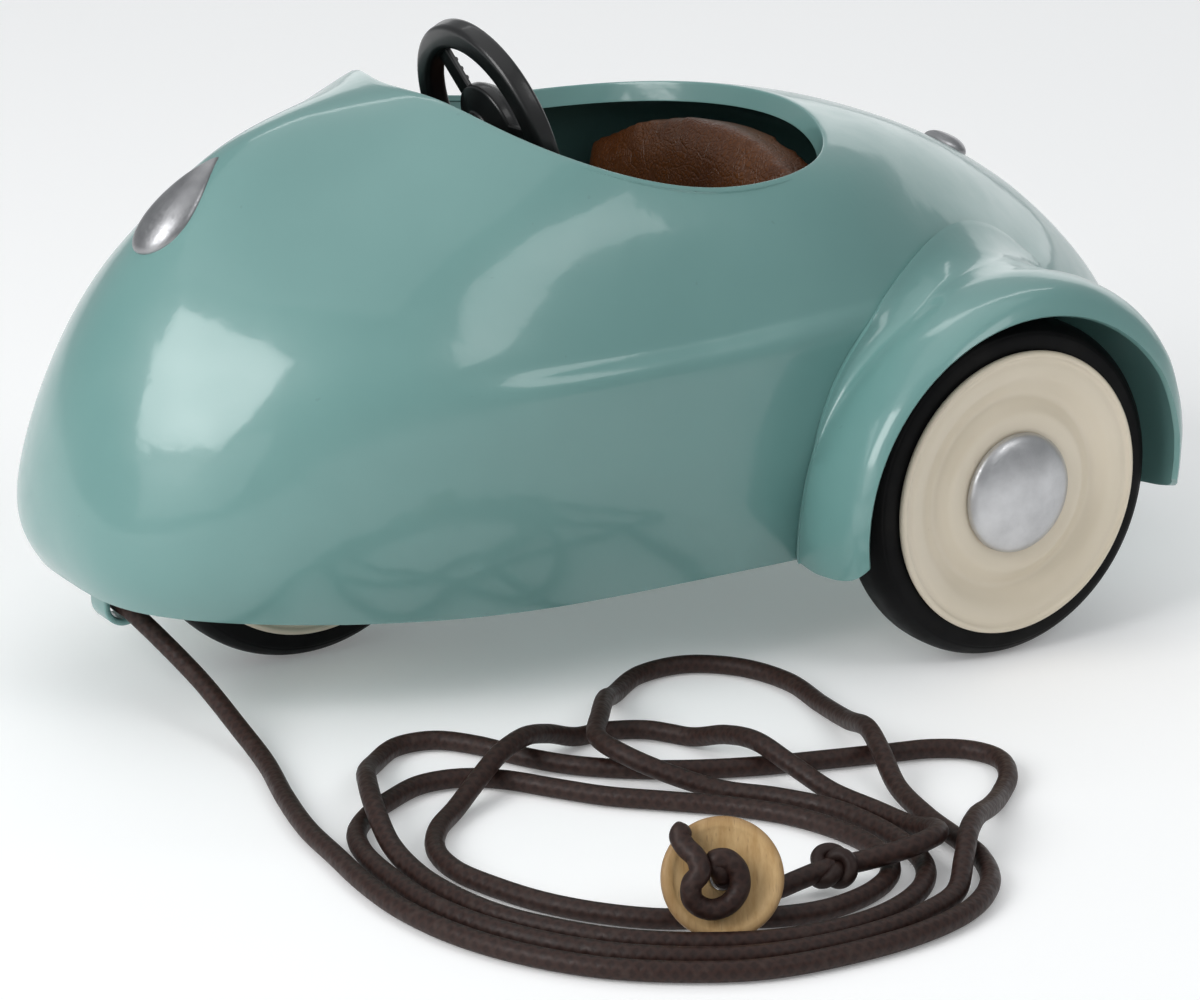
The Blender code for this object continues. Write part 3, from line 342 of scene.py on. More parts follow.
def tidied(mesh, weld=0.0, sharp=38.0):
    """Weld, point the faces outwards and shade smooth up to a sharp angle in degrees."""
    bm = bmesh.new()
    bm.from_mesh(mesh)
    if weld:
        bmesh.ops.remove_doubles(bm, verts=bm.verts, dist=weld * MM)
    bmesh.ops.recalc_face_normals(bm, faces=bm.faces)
    bm.to_mesh(mesh)
    bm.free()
    mesh.shade_smooth()
    mesh.set_sharp_from_angle(angle=math.radians(sharp))
    return mesh


def loose_object(name, mesh):
    obj = bpy.data.objects.new(name, mesh)
    scene.collection.objects.link(obj)
    return obj


def applied(obj):
    """The object's mesh as its modifiers leave it; the object is removed."""
    bpy.context.view_layer.update()
    depsgraph = bpy.context.evaluated_depsgraph_get()
    mesh = bpy.data.meshes.new_from_object(obj.evaluated_get(depsgraph))
    old = obj.data
    bpy.data.objects.remove(obj, do_unlink=True)
    bpy.data.meshes.remove(old)
    return mesh


def read_points(mesh, field="co"):
    """One row per vertex, of its place or its normal."""
    flat = np.zeros(len(mesh.vertices) * 3)
    mesh.vertices.foreach_get(field, flat)
    return flat.reshape(-1, 3)


def modifier(obj, kind, **settings):
    made = obj.modifiers.new(kind.lower(), kind)
    for key, value in settings.items():
        setattr(made, key, value)
    return made


def add_bevel(obj, width, segments, degrees):
    """Round the edges where the faces meet at more than an angle."""
    modifier(obj, "BEVEL", width=width * MM, segments=segments, limit_method="ANGLE",
             angle_limit=math.radians(degrees))


def body_with(node_name):
    """Name of the CAD body that a node belongs to."""
    groups = frame["record"]["behaviour"]["bodies"]
    return next(name for name, members in groups.items() if node_name in members)


def show(name, mesh, paint, slot, *nodes, location=(0, 0, 0), turn=None):
    """Put a finished piece in place of CAD nodes, riding on their body."""
    mesh.materials.clear()
    mesh.materials.append(paints[paint])
    obj = loose_object(name, mesh)
    obj.location = Vector(location) * MM
    if turn is not None:
        obj.rotation_euler = turn.to_euler()
    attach(obj, body_with(nodes[0]))
    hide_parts(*nodes)
    return obj


def rounded(points, reach, steps=4, closed=True):
    """Outline with each corner rounded from reach before it to reach after it."""
    outline = []
    for i, here in enumerate(points):
        if not closed and i in (0, len(points) - 1):
            outline.append(tuple(here))
            continue
        corner = Vector(here)
        before = Vector(points[i - 1]) - corner
        after = Vector(points[(i + 1) % len(points)]) - corner
        first = corner + before.normalized() * min(reach, before.length * 0.48)
        last = corner + after.normalized() * min(reach, after.length * 0.48)
        for k in range(steps + 1):
            t = k / steps
            outline.append(tuple(first * (1 - t) ** 2 + corner * 2 * t * (1 - t) + last * t * t))
    return outline


def through(points, per_span):
    """Catmull-Rom curve through points of any dimension."""
    points = np.array(points, float)
    knots = np.vstack([2 * points[0] - points[1], points, 2 * points[-1] - points[-2]])
    curve = []
    for a, b, c, d in zip(knots, knots[1:], knots[2:], knots[3:]):
        for t in np.arange(per_span) / per_span:
            curve.append(0.5 * (2 * b + (c - a) * t + (2 * a - 5 * b + 4 * c - d) * t ** 2
                                + (3 * b - a - 3 * c + d) * t ** 3))
    curve.append(knots[-2])
    return np.array(curve)


def turned(name, profile, segments, closed=True):
    """Solid turned about Z from a profile of (radius, height)."""
    angles = np.linspace(0, 2 * math.pi, segments, endpoint=False)
    radius, height = np.array(profile, float).T
    grid = np.stack([np.outer(radius, np.cos(angles)), np.outer(radius, np.sin(angles)),
                     np.outer(height, np.ones(segments))], axis=-1)
    return tidied(grid_mesh(name, grid, wrap_rows=closed, wrap_columns=True), weld=0.001)


def along_axis(axis):
    """Turn that brings Z onto an axis."""
    return Vector(axis).to_track_quat("Z", "Y")


def swept(name, path, section, up=(0, 0, 1), uv=False):
    """Solid whose closed section of (across, up) points follows a path."""
    path = np.array(path, float)
    tangents = np.gradient(path, axis=0)
    tangents /= np.linalg.norm(tangents, axis=1)[:, None]
    lift = np.array(up, float)
    section = np.array(section, float)
    grid = []
    for place, along in zip(path, tangents):
        lift = lift - along * lift.dot(along)
        lift /= np.linalg.norm(lift)
        across = np.cross(along, lift)
        grid.append(place + section[:, :1] * across + section[:, 1:] * lift)
    spans = None
    if uv:
        travelled = np.concatenate([[0], np.cumsum(np.linalg.norm(np.diff(path, axis=0), axis=1))])
        spans = (travelled, np.linspace(0, 1, len(section) + 1))
    return tidied(grid_mesh(name, grid, wrap_columns=True, caps=True, uv=spans))


def circle(radius, count):
    angles = np.linspace(0, 2 * math.pi, count, endpoint=False)
    return np.stack([radius * np.cos(angles), radius * np.sin(angles)], axis=-1)


# --- Pull cord ---

CORD_R = 1.75
CORD_SIDES = 18
CORD_STEPS = 10               # places between two points of a route
KNOT_SIZE = 4.3
STOPPER_SIZE = 4.6
KNOT_SHARES = (0.51, 0.25, 0.29)   # of a knot's size: its ring, its winding and its strand
STOPPER_UP = 3.6              # from the route's first point up into the stopper knot
# The pull cord's way, knot to knot; it lies in loose turns beside the car
CORD_ROUTE = (
    # out of the towing loop and down to the floor
    (108, -6, 25.3), (108, -5.95, 23.6), (108, -5.1, 20.4), (108, -3, 17.9), (108, -0.2, 16.95),
    (107.8, 5, 16.6), (106, 14, 13.2), (104.3, 26, 8.8), (103.9, 39, 4.4),
    (105.2, 52, 2.1), (109.5, 67, 1.9), (112.8, 81, 1.9),
    # outermost run on the near side
    (114.3, 94, 1.9), (115.6, 106, 1.9), (115.6, 118, 1.9), (113.2, 131, 1.9), (107.8, 143.6, 1.9),
    (99.8, 154.5, 1.9), (89.4, 162.9, 1.9), (78.2, 168.5, 1.9), (64, 170.8, 1.9), (50, 170.6, 1.9),
    (38, 167.5, 1.9), (29, 160.9, 1.9), (24, 151.9, 1.9),
    # far loop, then back over it and along the middle
    (22.4, 143, 1.9), (21, 133, 1.9), (18.6, 121.5, 2.6), (15.4, 112, 5.5), (12.6, 104, 6.6),
    (9.5, 94, 4), (6, 81, 2), (4.4, 68.5, 1.9), (7.6, 57.5, 1.9), (15.5, 50.5, 1.9), (26, 50.5, 1.9),
    (36, 57.5, 2.4), (43, 65.5, 5.6), (49.5, 74, 6.8), (55.2, 82, 6.6), (55, 90.5, 6), (50.2, 97.8, 3.8),
    (44.2, 104.8, 2), (37.8, 112.5, 1.9), (32.6, 122, 1.9), (31, 132.5, 1.9), (31.6, 142.5, 1.9),
    (34.6, 150.8, 1.9),
    # second turn, near side
    (41, 157.4, 1.9), (51, 161.6, 1.9), (62, 162.2, 1.9), (73, 159.6, 1.9), (83.3, 154, 1.9),
    (92.2, 146.5, 1.9), (99, 137.4, 1.9), (103.7, 128, 1.9), (106, 117.5, 1.9), (106.4, 107, 2),
    # round the left end, along the back and out to the right
    (105.6, 97, 3.2), (103.3, 87.5, 6), (99.6, 78.5, 6.6), (95, 70, 4.4), (89.4, 62.6, 2.2),
    (82, 57.2, 1.9), (74.6, 58, 1.9), (69.4, 64, 1.9), (65.2, 73, 1.9), (60.2, 80.8, 1.9),
    (53.2, 87.6, 1.9), (44.5, 93.5, 1.9), (33.5, 98.8, 1.9), (21, 103, 1.9), (9.5, 106.6, 1.9),
    (2, 109, 1.9), (-3.6, 113.4, 1.9), (-5.2, 119.6, 1.9), (-1.6, 126.5, 1.9), (5, 132.6, 1.9),
    (12.6, 139.4, 3.9), (19.5, 144.9, 5.9), (25.2, 150, 6.2), (30.3, 155.4, 4.4), (36.2, 161.2, 2.2),
    # third turn, near side
    (44, 164.4, 1.9), (54, 166.4, 1.9), (66, 166.1, 1.9), (77.2, 163.4, 1.9), (87.2, 157.9, 1.9),
    (96.2, 150.2, 1.9), (103.2, 140.5, 1.9), (108.2, 129.6, 1.9), (110.8, 118, 1.9), (110.9, 106, 1.9),
    # round the left end and through the middle
    (109.9, 96, 1.9), (107, 87.8, 1.9), (101.6, 82, 1.9), (94.8, 77.8, 1.9), (87, 74.6, 1.9),
    (79.4, 75.8, 1.9), (73.2, 80.8, 1.9), (68, 88.4, 1.9), (62.2, 96.4, 1.9), (54.4, 104, 1.9),
    (46.8, 111.6, 1.9), (40.4, 120.6, 1.9), (37, 131, 1.9), (36.8, 141, 1.9), (40.2, 148.6, 1.9),
    (47.4, 153.4, 1.9),
    # innermost run
    (57, 155.2, 1.9), (66.2, 153.2, 1.9), (74.4, 148.4, 1.9), (82.8, 143.5, 1.9), (89.8, 136.2, 1.9),
    (95, 128, 1.9), (98.4, 119, 1.9), (100.4, 110, 1.9),
    # over the others to the knot
    (99.2, 101.2, 1.9), (94.4, 93.4, 1.9), (87.4, 87.6, 2.2), (80.4, 83.2, 4.4), (73.4, 79.2, 6.5),
    (66, 75.2, 6.6), (59.2, 72, 4.6), (52.6, 70.6, 2.1), (46, 70.9, 1.9), (39.4, 74.6, 1.9),
    (35, 81.6, 2), (33.2, 90, 4.9), (32.4, 98.4, 6.3), (31, 107, 4.6), (28.8, 116, 2.2),
    (26.9, 126, 1.9), (26.2, 135.4, 2.3), (27, 143, 4.6), (31.2, 149, 6.6), (37.8, 150.8, 6.6),
    (44, 149, 5.4),
)
# From the knot to the button's back, low over the floor
TAIL_ROUTE = ((54.2, 146.6, 4.2), (57.4, 146.0, 3.4), (60.8, 145.4, 2.6), (64.6, 145.2, 3.0),
              (68.8, 145.4, 5.0))
# The cord's end on the button's face, told as places aside, upwards and out from its middle
END_LOOP = (
    (0, 0, 0.5), (-0.6, 0.9, 2.9), (-1.6, 2.7, 4.0), (0.3, 2.9, 4.2), (2.1, 1.0, 3.7), (2.2, -1.9, 3.1),
    (0.2, -4.3, 3.0), (-2.8, -4.9, 3.2), (-5.3, -3.4, 4.0), (-5.6, -0.9, 5.2), (-4.3, 0.9, 6.0),
    (-4.6, 3.2, 5.2), (-6.2, 5.2, 3.9), (-6.9, 7.0, 3.2), (-5.6, 8.4, 2.9),
)
END_TAPER = (0.97, 0.88, 0.7, 0.4)
BUTTON_FACES = Vector((0.41, 0.815, 0.41)).normalized()
BUTTON_R = 10.0
BUTTON_HALF = 1.6
BUTTON_DISH = 0.75


def cord_line(route):
    """Smooth line through a route, kept off the floor."""
    line = through(route, CORD_STEPS)
    line[:, 2] = np.maximum(line[:, 2], CORD_R + 0.05)
    return line


def add_cord(name, line, node_name):
    mesh = swept(name, line, circle(CORD_R, CORD_SIDES), uv=True)
    cord = show(name, mesh, "cord", "waxed_cord", node_name)


def add_knot(name, node_name, axis, size):
    """Overhand knot drawn tight: two strands winding round each other in a ring."""
    ring, wind, strand = (share * size for share in KNOT_SHARES)
    t = np.linspace(0, 2 * math.pi, 160, endpoint=False)
    reach = ring + wind * np.cos(3 * t)
    path = np.stack([reach * np.cos(2 * t), reach * np.sin(2 * t), wind * np.sin(3 * t)], axis=-1)
    mesh = ring_tube(name, path, strand)
    return show(name, mesh, "cord", "waxed_cord", node_name, location=middle_of(node_name),
                turn=along_axis(axis))


def ring_tube(name, path, radius, sides=20):
    """Round tube along a closed path."""
    tangents = np.roll(path, -1, axis=0) - np.roll(path, 1, axis=0)
    tangents /= np.linalg.norm(tangents, axis=1)[:, None]
    outward = path - path.mean(axis=0)
    across = np.cross(tangents, outward)
    across /= np.linalg.norm(across, axis=1)[:, None]
    lift = np.cross(across, tangents)
    section = circle(radius, sides)
    grid = path[:, None] + section[None, :, :1] * across[:, None] + section[None, :, 1:] * lift[:, None]
    return tidied(grid_mesh(name, grid, wrap_rows=True, wrap_columns=True))


def add_end_knot(centre, face):
    """The cord's end, looped on the button's face with its tail over the button's edge."""
    aside = Vector((0, 0, 1)).cross(face).normalized()
    upward = face.cross(aside)
    line = through([centre + aside * u + upward * v + face * w for u, v, w in END_LOOP], 8)
    shrink = np.ones(len(line))
    shrink[-len(END_TAPER):] = END_TAPER
    mesh = swept("end_knot_loop", line, circle(CORD_R, CORD_SIDES), uv=True)
    points = read_points(mesh).reshape(len(line), CORD_SIDES, 3)
    points = line[:, None] * MM + (points - line[:, None] * MM) * shrink[:, None, None]
    mesh.vertices.foreach_set("co", points.ravel())
    return show("end_knot_loop", mesh, "cord", "waxed_cord", "end_knot")


def add_button():
    """Turned disc with a shallow dish in each face inside a rounded rim."""
    dish = BUTTON_HALF - BUTTON_DISH
    face = [(CORD_R + 0.25, dish), (5.2, dish), (7.6, dish + 0.3), (8.6, BUTTON_HALF),
            (BUTTON_R - 0.1, BUTTON_HALF - 0.2)]
    profile = face + [(r, -h) for r, h in reversed(face)]
    mesh = turned("button", rounded(profile, 0.7), 96)
    return show("button", mesh, "wood", "turned_wood", "wood_button", location=middle_of("wood_button"),
                turn=along_axis(BUTTON_FACES))


def add_pull_cord():
    """The cord from the stopper knot to the knot by the button, and its tail through the button."""
    button = add_button()
    centre = middle_of("wood_button")
    end_loop = add_end_knot(centre, BUTTON_FACES)
    heart = middle_of("cord_knot")
    knot = add_knot("cord_knot_wound", "cord_knot", (0.55, 0.35, 0.75), KNOT_SIZE)
    stopper = add_knot("staple_knot_wound", "staple_knot", (0.1, 1, 0.05), STOPPER_SIZE)
    start = tuple(np.array(CORD_ROUTE[0]) + (0, 0, STOPPER_UP))
    into_knot = tuple(heart - Vector((2.2, -0.8, -0.2)))
    add_cord("cord", cord_line((start, *CORD_ROUTE, into_knot)), "pull_cord")
    through_button = [tuple(centre + BUTTON_FACES * out) for out in (-3.6, 0.0, 2.4)]
    tail = cord_line((tuple(heart), *TAIL_ROUTE, *through_button))
    add_cord("button_tail", tail, "button_cord")


add_pull_cord()


# --- Body ---

SHEET = 1.2
# Points on the skin: each row runs from the nose's centre line round the left side to the
# tail's centre line, and the rows climb from the lower edge to the cockpit rim
SKIN_ROWS = (
    ((118.0, 0, 23.0), (114.0, 21.0, 22.5), (92.0, 39.5, 21.5), (56.0, 52.5, 20.5), (14.5, 56.0, 20.5),
     (-28.5, 55.5, 20.5), (-72.0, 44.5, 20.5), (-105.0, 23.5, 20.5), (-119.0, 0, 20.5)),
    ((121.5, 0, 36.0), (116.5, 23.5, 36.0), (94.5, 43.0, 36.5), (57.5, 56.0, 37.0), (14.5, 59.5, 38.0),
     (-28.5, 58.5, 38.0), (-73.0, 46.5, 38.0), (-107.0, 25.0, 38.0), (-121.5, 0, 38.0)),
    ((115.0, 0, 62.0), (107.0, 22.5, 62.0), (88.5, 42.0, 62.0), (56.0, 55.0, 62.0), (14.5, 58.0, 62.5),
     (-28.5, 56.5, 65.0), (-66.0, 43.5, 65.0), (-94.0, 23.5, 60.0), (-108.0, 0, 58.5)),
    ((101.0, 0, 83.0), (91.5, 21.0, 81.5), (75.5, 37.5, 80.0), (49.0, 49.5, 78.0), (13.0, 53.5, 76.5),
     (-25.0, 51.5, 78.0), (-56.0, 37.5, 78.5), (-76.0, 19.5, 78.0), (-84.0, 0, 77.5)),
    ((80.5, 0, 100.3), (71.5, 17.5, 95.5), (59.0, 32.5, 93.0), (39.5, 44.5, 89.0), (10.5, 49.0, 86.0),
     (-20.0, 46.5, 86.5), (-42.0, 34.5, 88.0), (-55.0, 17.5, 89.5), (-59.0, 0, 89.5)),
    ((50.0, 0, 108.2), (47.0, 14.0, 107.5), (41.0, 28.0, 103.5), (28.5, 39.5, 97.5), (8.0, 45.0, 92.0),
     (-13.5, 42.5, 91.5), (-27.5, 32.0, 93.0), (-35.5, 16.5, 94.5), (-38.5, 0, 95.0)),
)
COCKPIT_MIDDLE = (6.0, 0.0)
LIP_IN = 1.2
LIP_DOWN = 4.0
SWAGE_ROW = 2
SWAGE_CREASES = (0.0, 0.1, 0.3, 0.9, 0.9, 0.7, 0.2, 0.0)   # from the nose to the tail
LEDGE_DEPTH = 1.9
LEDGE_HEIGHT = 5.0
LEDGE_EASE = 13.0
LEDGE_X = (74.0, -92.0)
LEDGE_FADE = (35.0, 20.0)
RIM_CREASE = 0.75
RIM_ROUND = 0.9
EDGE_ROUND = 0.4
SKIN_LEVELS = 4
FAR_OUT = 300.0               # beyond any side of the body


def cage_through(rows):
    """Subdivision cage whose limit surface passes through rows of points."""
    points = np.array(rows, float)
    levels, ribs, _ = points.shape

    def blend_matrix(size, end_row):
        matrix = np.zeros((size, size))
        for i in range(1, size - 1):
            matrix[i, i - 1:i + 2] = (1 / 6, 4 / 6, 1 / 6)
        matrix[0, :2] = end_row
        matrix[-1, -2:] = end_row[::-1]
        return matrix

    across = blend_matrix(levels, (1.0, 0.0))
    along = blend_matrix(ribs, (4 / 6, 2 / 6))
    along_y = blend_matrix(ribs, (1.0, 0.0))
    cage = np.einsum("ij,jkc->ikc", np.linalg.inv(across), points)
    for c in (0, 2):
        cage[:, :, c] = cage[:, :, c] @ np.linalg.inv(along).T
    cage[:, :, 1] = cage[:, :, 1] @ np.linalg.inv(along_y).T
    return cage


def rim_lip(rim):
    """Cage row of the lip: the rim's row moved into the cockpit and down."""
    lip = rim.copy()
    for point in lip:
        inward = np.array(COCKPIT_MIDDLE) - point[:2]
        inward[1] = inward[1] if abs(point[1]) > 1e-6 else 0.0
        point[:2] += inward / np.linalg.norm(inward) * LIP_IN
        point[2] -= LIP_DOWN
    return lip


def skin_sheet():
    """The whole skin as a fine open sheet."""
    cage = cage_through(SKIN_ROWS)
    cage = np.concatenate([cage, rim_lip(cage[-1])[None]])
    levels, ribs, _ = cage.shape
    bm = bmesh.new()
    grid = [[bm.verts.new(p * MM) for p in row] for row in cage]
    crease = bm.edges.layers.float.new("crease_edge")
    for i in range(levels - 1):
        for j in range(ribs - 1):
            bm.faces.new((grid[i][j], grid[i][j + 1], grid[i + 1][j + 1], grid[i + 1][j]))
    for j, strength in enumerate(SWAGE_CREASES):
        bm.edges.get((grid[SWAGE_ROW][j], grid[SWAGE_ROW][j + 1]))[crease] = strength
    for j in range(ribs - 1):
        bm.edges.get((grid[levels - 2][j], grid[levels - 2][j + 1]))[crease] = RIM_CREASE
    bmesh.ops.recalc_face_normals(bm, faces=bm.faces)
    mesh = bpy.data.meshes.new("skin")
    bm.to_mesh(mesh)
    bm.free()
    obj = loose_object("skin", mesh)
    modifier(obj, "MIRROR", use_axis=(False, True, False), merge_threshold=0.0001)
    modifier(obj, "SUBSURF", levels=SKIN_LEVELS)
    return with_ledge(applied(obj))


def smooth_step(value):
    """Ease from 0 to 1."""
    value = np.clip(value, 0, 1)
    return value * value * (3 - 2 * value)


def with_ledge(mesh):
    """Press the sides in just above the crease line, easing out again further up."""
    points, normals = read_points(mesh) / MM, read_points(mesh, "normal")
    line = np.array(SKIN_ROWS[SWAGE_ROW])[::-1]
    above = np.clip(points[:, 2] - np.interp(points[:, 0], line[:, 0], line[:, 2]), 0, None)
    across = smooth_step(above / LEDGE_HEIGHT) * np.exp(-np.square(above / LEDGE_EASE))
    front, rear = LEDGE_X
    front_fade, rear_fade = LEDGE_FADE
    along = smooth_step((front - points[:, 0]) / front_fade) * smooth_step((points[:, 0] - rear) / rear_fade)
    points -= normals * (LEDGE_DEPTH * across * along)[:, None]
    mesh.vertices.foreach_set("co", (points * MM).ravel())
    mesh.update()
    return mesh


def add_body():
    """The skin with its rim rolled over, given the sheet's thickness and rounded edges."""
    obj = loose_object("skin", skin_sheet())
    add_bevel(obj, RIM_ROUND, 4, 42)
    modifier(obj, "SOLIDIFY", thickness=SHEET * MM, offset=-1.0, use_even_offset=True)
    add_bevel(obj, EDGE_ROUND, 3, 62)
    show("body_skin", tidied(applied(obj), sharp=55), "body", "body_paint", "body_shell")


def surface_of(mesh):
    """The mesh as a surface to cast rays at, in millimetres."""
    mesh.calc_loop_triangles()
    corners = [v.co / MM for v in mesh.vertices]
    return BVHTree.FromPolygons(corners, [tuple(t.vertices) for t in mesh.loop_triangles])


skin = surface_of(skin_sheet())


def skin_y(x, z):
    """Half-width of the body's outside at a place on its left side."""
    return skin.ray_cast(Vector((x, FAR_OUT, z)), Vector((0, -1, 0)))[0].y


add_body()


# --- Fenders ---

FENDER_CENTRE = (-42.4, 30.2)
FENDER_START = -15.0
FENDER_END = 188.0
FENDER_ROOT_R = 37.4
FENDER_PROFILE = ((63.0, 38.4), (68.0, 39.0), (74.0, 38.9), (77.5, 38.2), (79.2, 36.8))
FENDER_CORNER = (0.3, 1.0, 2.5, 4.5, 8.0)   # how far the ends draw in, from the body outwards
FENDER_CORNER_SPAN = 22.0
FENDER_TUCK = 2.2
FENDER_TUCK_FROM = 145.0
FENDER_SWELL = 4.2
FENDER_SWELL_AT = 123.0
FENDER_SWELL_SPAN = 69.0
FENDER_SWELL_SHARE = (1.1, 1.0, 1.0, 0.9, 0.65, 0.1)
FENDER_LOWEST = 21.5
FENDER_FILLET = (1.0, 4.5)    # the blend's least width and what it gains
FENDER_FILLET_FROM = 20.0
FENDER_FILLET_SPAN = 150.0
FENDER_GAP = 0.05
FENDER_SHEET = 1.1
FENDER_STEPS = 140
FENDER_COLUMNS = 30


def fender_section(degrees):
    """Outer side of the fender at one angle: points from the body's side outwards."""
    off = min(abs(degrees - FENDER_SWELL_AT) / FENDER_SWELL_SPAN, 1.0)
    swell = FENDER_SWELL * math.cos(off * math.pi / 2) ** 2
    tuck = FENDER_TUCK * max(0.0, degrees - FENDER_TUCK_FROM) / (FENDER_END - FENDER_TUCK_FROM)
    outer = [(y, radius + swell * share - tuck)
             for (y, radius), share in zip(FENDER_PROFILE, FENDER_SWELL_SHARE[1:])]
    return FENDER_ROOT_R + swell * FENDER_SWELL_SHARE[0] - tuck, outer


def drawn_in(degrees, lift):
    """Angle moved away from the fender's nearer end, for its rounded corners."""
    from_end = min(degrees - FENDER_START, FENDER_END - degrees)
    shift = lift * max(0.0, 1.0 - from_end / FENDER_CORNER_SPAN)
    return degrees + shift if degrees < FENDER_SWELL_AT else degrees - shift


def at_angle(radius, degrees):
    """Place (x, z) on a circle about the fender's centre."""
    angle = math.radians(degrees)
    return FENDER_CENTRE[0] + radius * math.cos(angle), FENDER_CENTRE[1] + radius * math.sin(angle)


def fender_fillet(degrees):
    """How wide the joint with the body is blended: narrow at both ends, broad over the top."""
    least, gain = FENDER_FILLET
    share = min(max((degrees - FENDER_FILLET_FROM) / FENDER_FILLET_SPAN, 0.0), 1.0)
    return least + gain * max(0.0, math.sin(math.pi * share))


def fender_row(degrees):
    """Evenly spaced places (angle, y, radius) from the body's side to the outer edge."""
    root, outer = fender_section(degrees)
    fillet = fender_fillet(degrees)
    row = []
    for lean in np.radians(np.linspace(0, 90, 7)):
        radius = root + fillet * (1 - math.sin(lean))
        x, z = at_angle(radius, degrees)
        side_y = skin_y(x, max(z, FENDER_LOWEST)) + FENDER_GAP
        row.append((degrees, side_y + fillet * (1 - math.cos(lean)), radius))
    start = row[-1][1:]
    rest = through([start] + [p for p in outer if p[0] > start[0] + 2.0], 5)[1:]
    shares = np.linspace(0, 1, len(FENDER_CORNER))
    lifts = np.interp(np.linspace(0, 1, len(rest)), shares, FENDER_CORNER)
    row += [(drawn_in(degrees, lift), y, radius) for (y, radius), lift in zip(rest, lifts)]
    return resampled(row, FENDER_COLUMNS)


def add_fender(name, side):
    """Arched cover over a rear wheel, from a fillet on the body to a turned-down outer edge."""
    points = []
    for degrees in np.linspace(FENDER_START, FENDER_END, FENDER_STEPS + 1):
        places = [(side * y, at_angle(radius, angle)) for angle, y, radius in fender_row(degrees)]
        points.append([(x, y, z) for y, (x, z) in places])
    mesh = grid_mesh(name, points)
    if side > 0:
        mesh.flip_normals()
    obj = loose_object(name, mesh)
    modifier(obj, "SOLIDIFY", thickness=FENDER_SHEET * MM, offset=-1.0, use_even_offset=True)
    add_bevel(obj, EDGE_ROUND, 3, 60)
    node_name = "fender_left" if side > 0 else "fender_right"
    show(name, tidied(applied(obj), sharp=50), "body", "body_paint", node_name)


def resampled(row, count):
    """A row of points at evenly spaced places along it."""
    row = np.array(row, float)
    steps = np.linalg.norm(np.diff(row[:, 1:], axis=0), axis=1)
    travelled = np.concatenate([[0], np.cumsum(steps)])
    places = np.linspace(0, travelled[-1], count)
    return np.stack([np.interp(places, travelled, row[:, c]) for c in range(3)], axis=-1)


add_fender("fender_left_arch", 1)
add_fender("fender_right_arch", -1)


# --- Lamps ---

HEADLAMP = ((98.8, 80.6), (85.0, 98.6), 6.4, 2.2)
TAIL_LAMP = ((-84.3, 76.2), (-75.5, 81.9), 4.5, 2.5)
LAMP_HEART = 0.38             # where the dome is highest, as a share of its length
LAMP_SIDES = 72
LAMP_RINGS = 22
LAMP_GAP = 0.05
LAMP_SKIRT = 0.9
LAMP_ABOVE = 20.0             # where the rays down to the skin start
SEAM_OFFSET = 0.01            # keeps those rays beside the skin's middle edges


def teardrop(angle):
    """Outline of a lamp as (0 at the blunt end to 1 at the tip, half-width from -1 to 1)."""
    widest = 4 / math.sqrt(27)
    return (1 - math.cos(angle)) / 2, math.sin(angle) * abs(math.cos(angle / 2)) / widest


def add_lamp(name, node_name, blunt, tip, half_width, height):
    """Teardrop pod on the body's centre line, seated on the skin by a short skirt."""
    blunt = Vector((blunt[0], SEAM_OFFSET, blunt[1]))
    tip = Vector((tip[0], SEAM_OFFSET, tip[1]))
    length = (tip - blunt).length
    along = (tip - blunt) / length
    out = Vector((-along.z, 0, along.x))
    out = out if out.z > 0 else -out
    grid = []
    for ring in range(LAMP_RINGS + 1):
        rho = math.cos(math.pi / 2 * ring / LAMP_RINGS)
        row = []
        for i in range(LAMP_SIDES):
            s, y = teardrop(2 * math.pi * i / LAMP_SIDES)
            s = LAMP_HEART + (s - LAMP_HEART) * rho
            start = blunt + along * length * s + Vector((0, y * rho * half_width, 0)) + out * LAMP_ABOVE
            foot = skin.ray_cast(start, -out)[0]
            row.append(foot + out * (LAMP_GAP + height * math.sqrt(1 - rho * rho)))
        grid.append(row)
    base = [[point - out * LAMP_SKIRT for point in grid[0]]]
    mesh = tidied(grid_mesh(name, base + grid, wrap_columns=True, caps=True), weld=0.002, sharp=60)
    # The pods wear the darker copy of the silver lacquer: painted shade
    show(name, mesh, "lamp", "silver_paint", node_name)


add_lamp("headlamp_pod", "headlamp", *HEADLAMP)
add_lamp("tail_lamp_pod", "tail_lamp", *TAIL_LAMP)


# --- Wheels ---

AXLE_BORE = 2.25
DISC_EDGE = 7.3
# Face of a disc from its bore outwards: radius and how far it lies behind the edge
DISC_FACE = ((AXLE_BORE, 1.9), (8.0, 1.8), (12.5, 1.4), (15.2, 1.2), (16.9, 2.0),
             (18.6, 2.75), (20.4, 2.0), (22.2, 0.95), (24.2, 0.45), (25.6, 0.5))
DISC_SHEET = 1.0
BUSH_HALF = DISC_EDGE - 3.2
CAP_SEAT = DISC_EDGE - 0.75
BEAD_AT_R = 26.75
BEAD_R = 0.72
BUSH_R = 4.2
CAP_R = 11.6
CAP_RISE = 3.4
CAP_SHEET = 1.2


def tyre_profile(node_name):
    """Solid rubber section: round tread, a moulded shoulder line and slightly bulged walls."""
    size = high_of(node_name) - low_of(node_name)
    outer, half = size.z / 2, size.y / 2
    right = [(24.5, 5.3), (26.0, 5.75), (28.4, half), (30.2, half - 0.15), (30.6, half - 0.45),
             (30.9, half - 0.5), (32.3, half - 2.0), (outer - 0.08, half - 3.8), (outer, 0.0)]
    left = [(r, -h) for r, h in reversed(right[:-1])]
    return rounded(right + left, 0.8, 3)


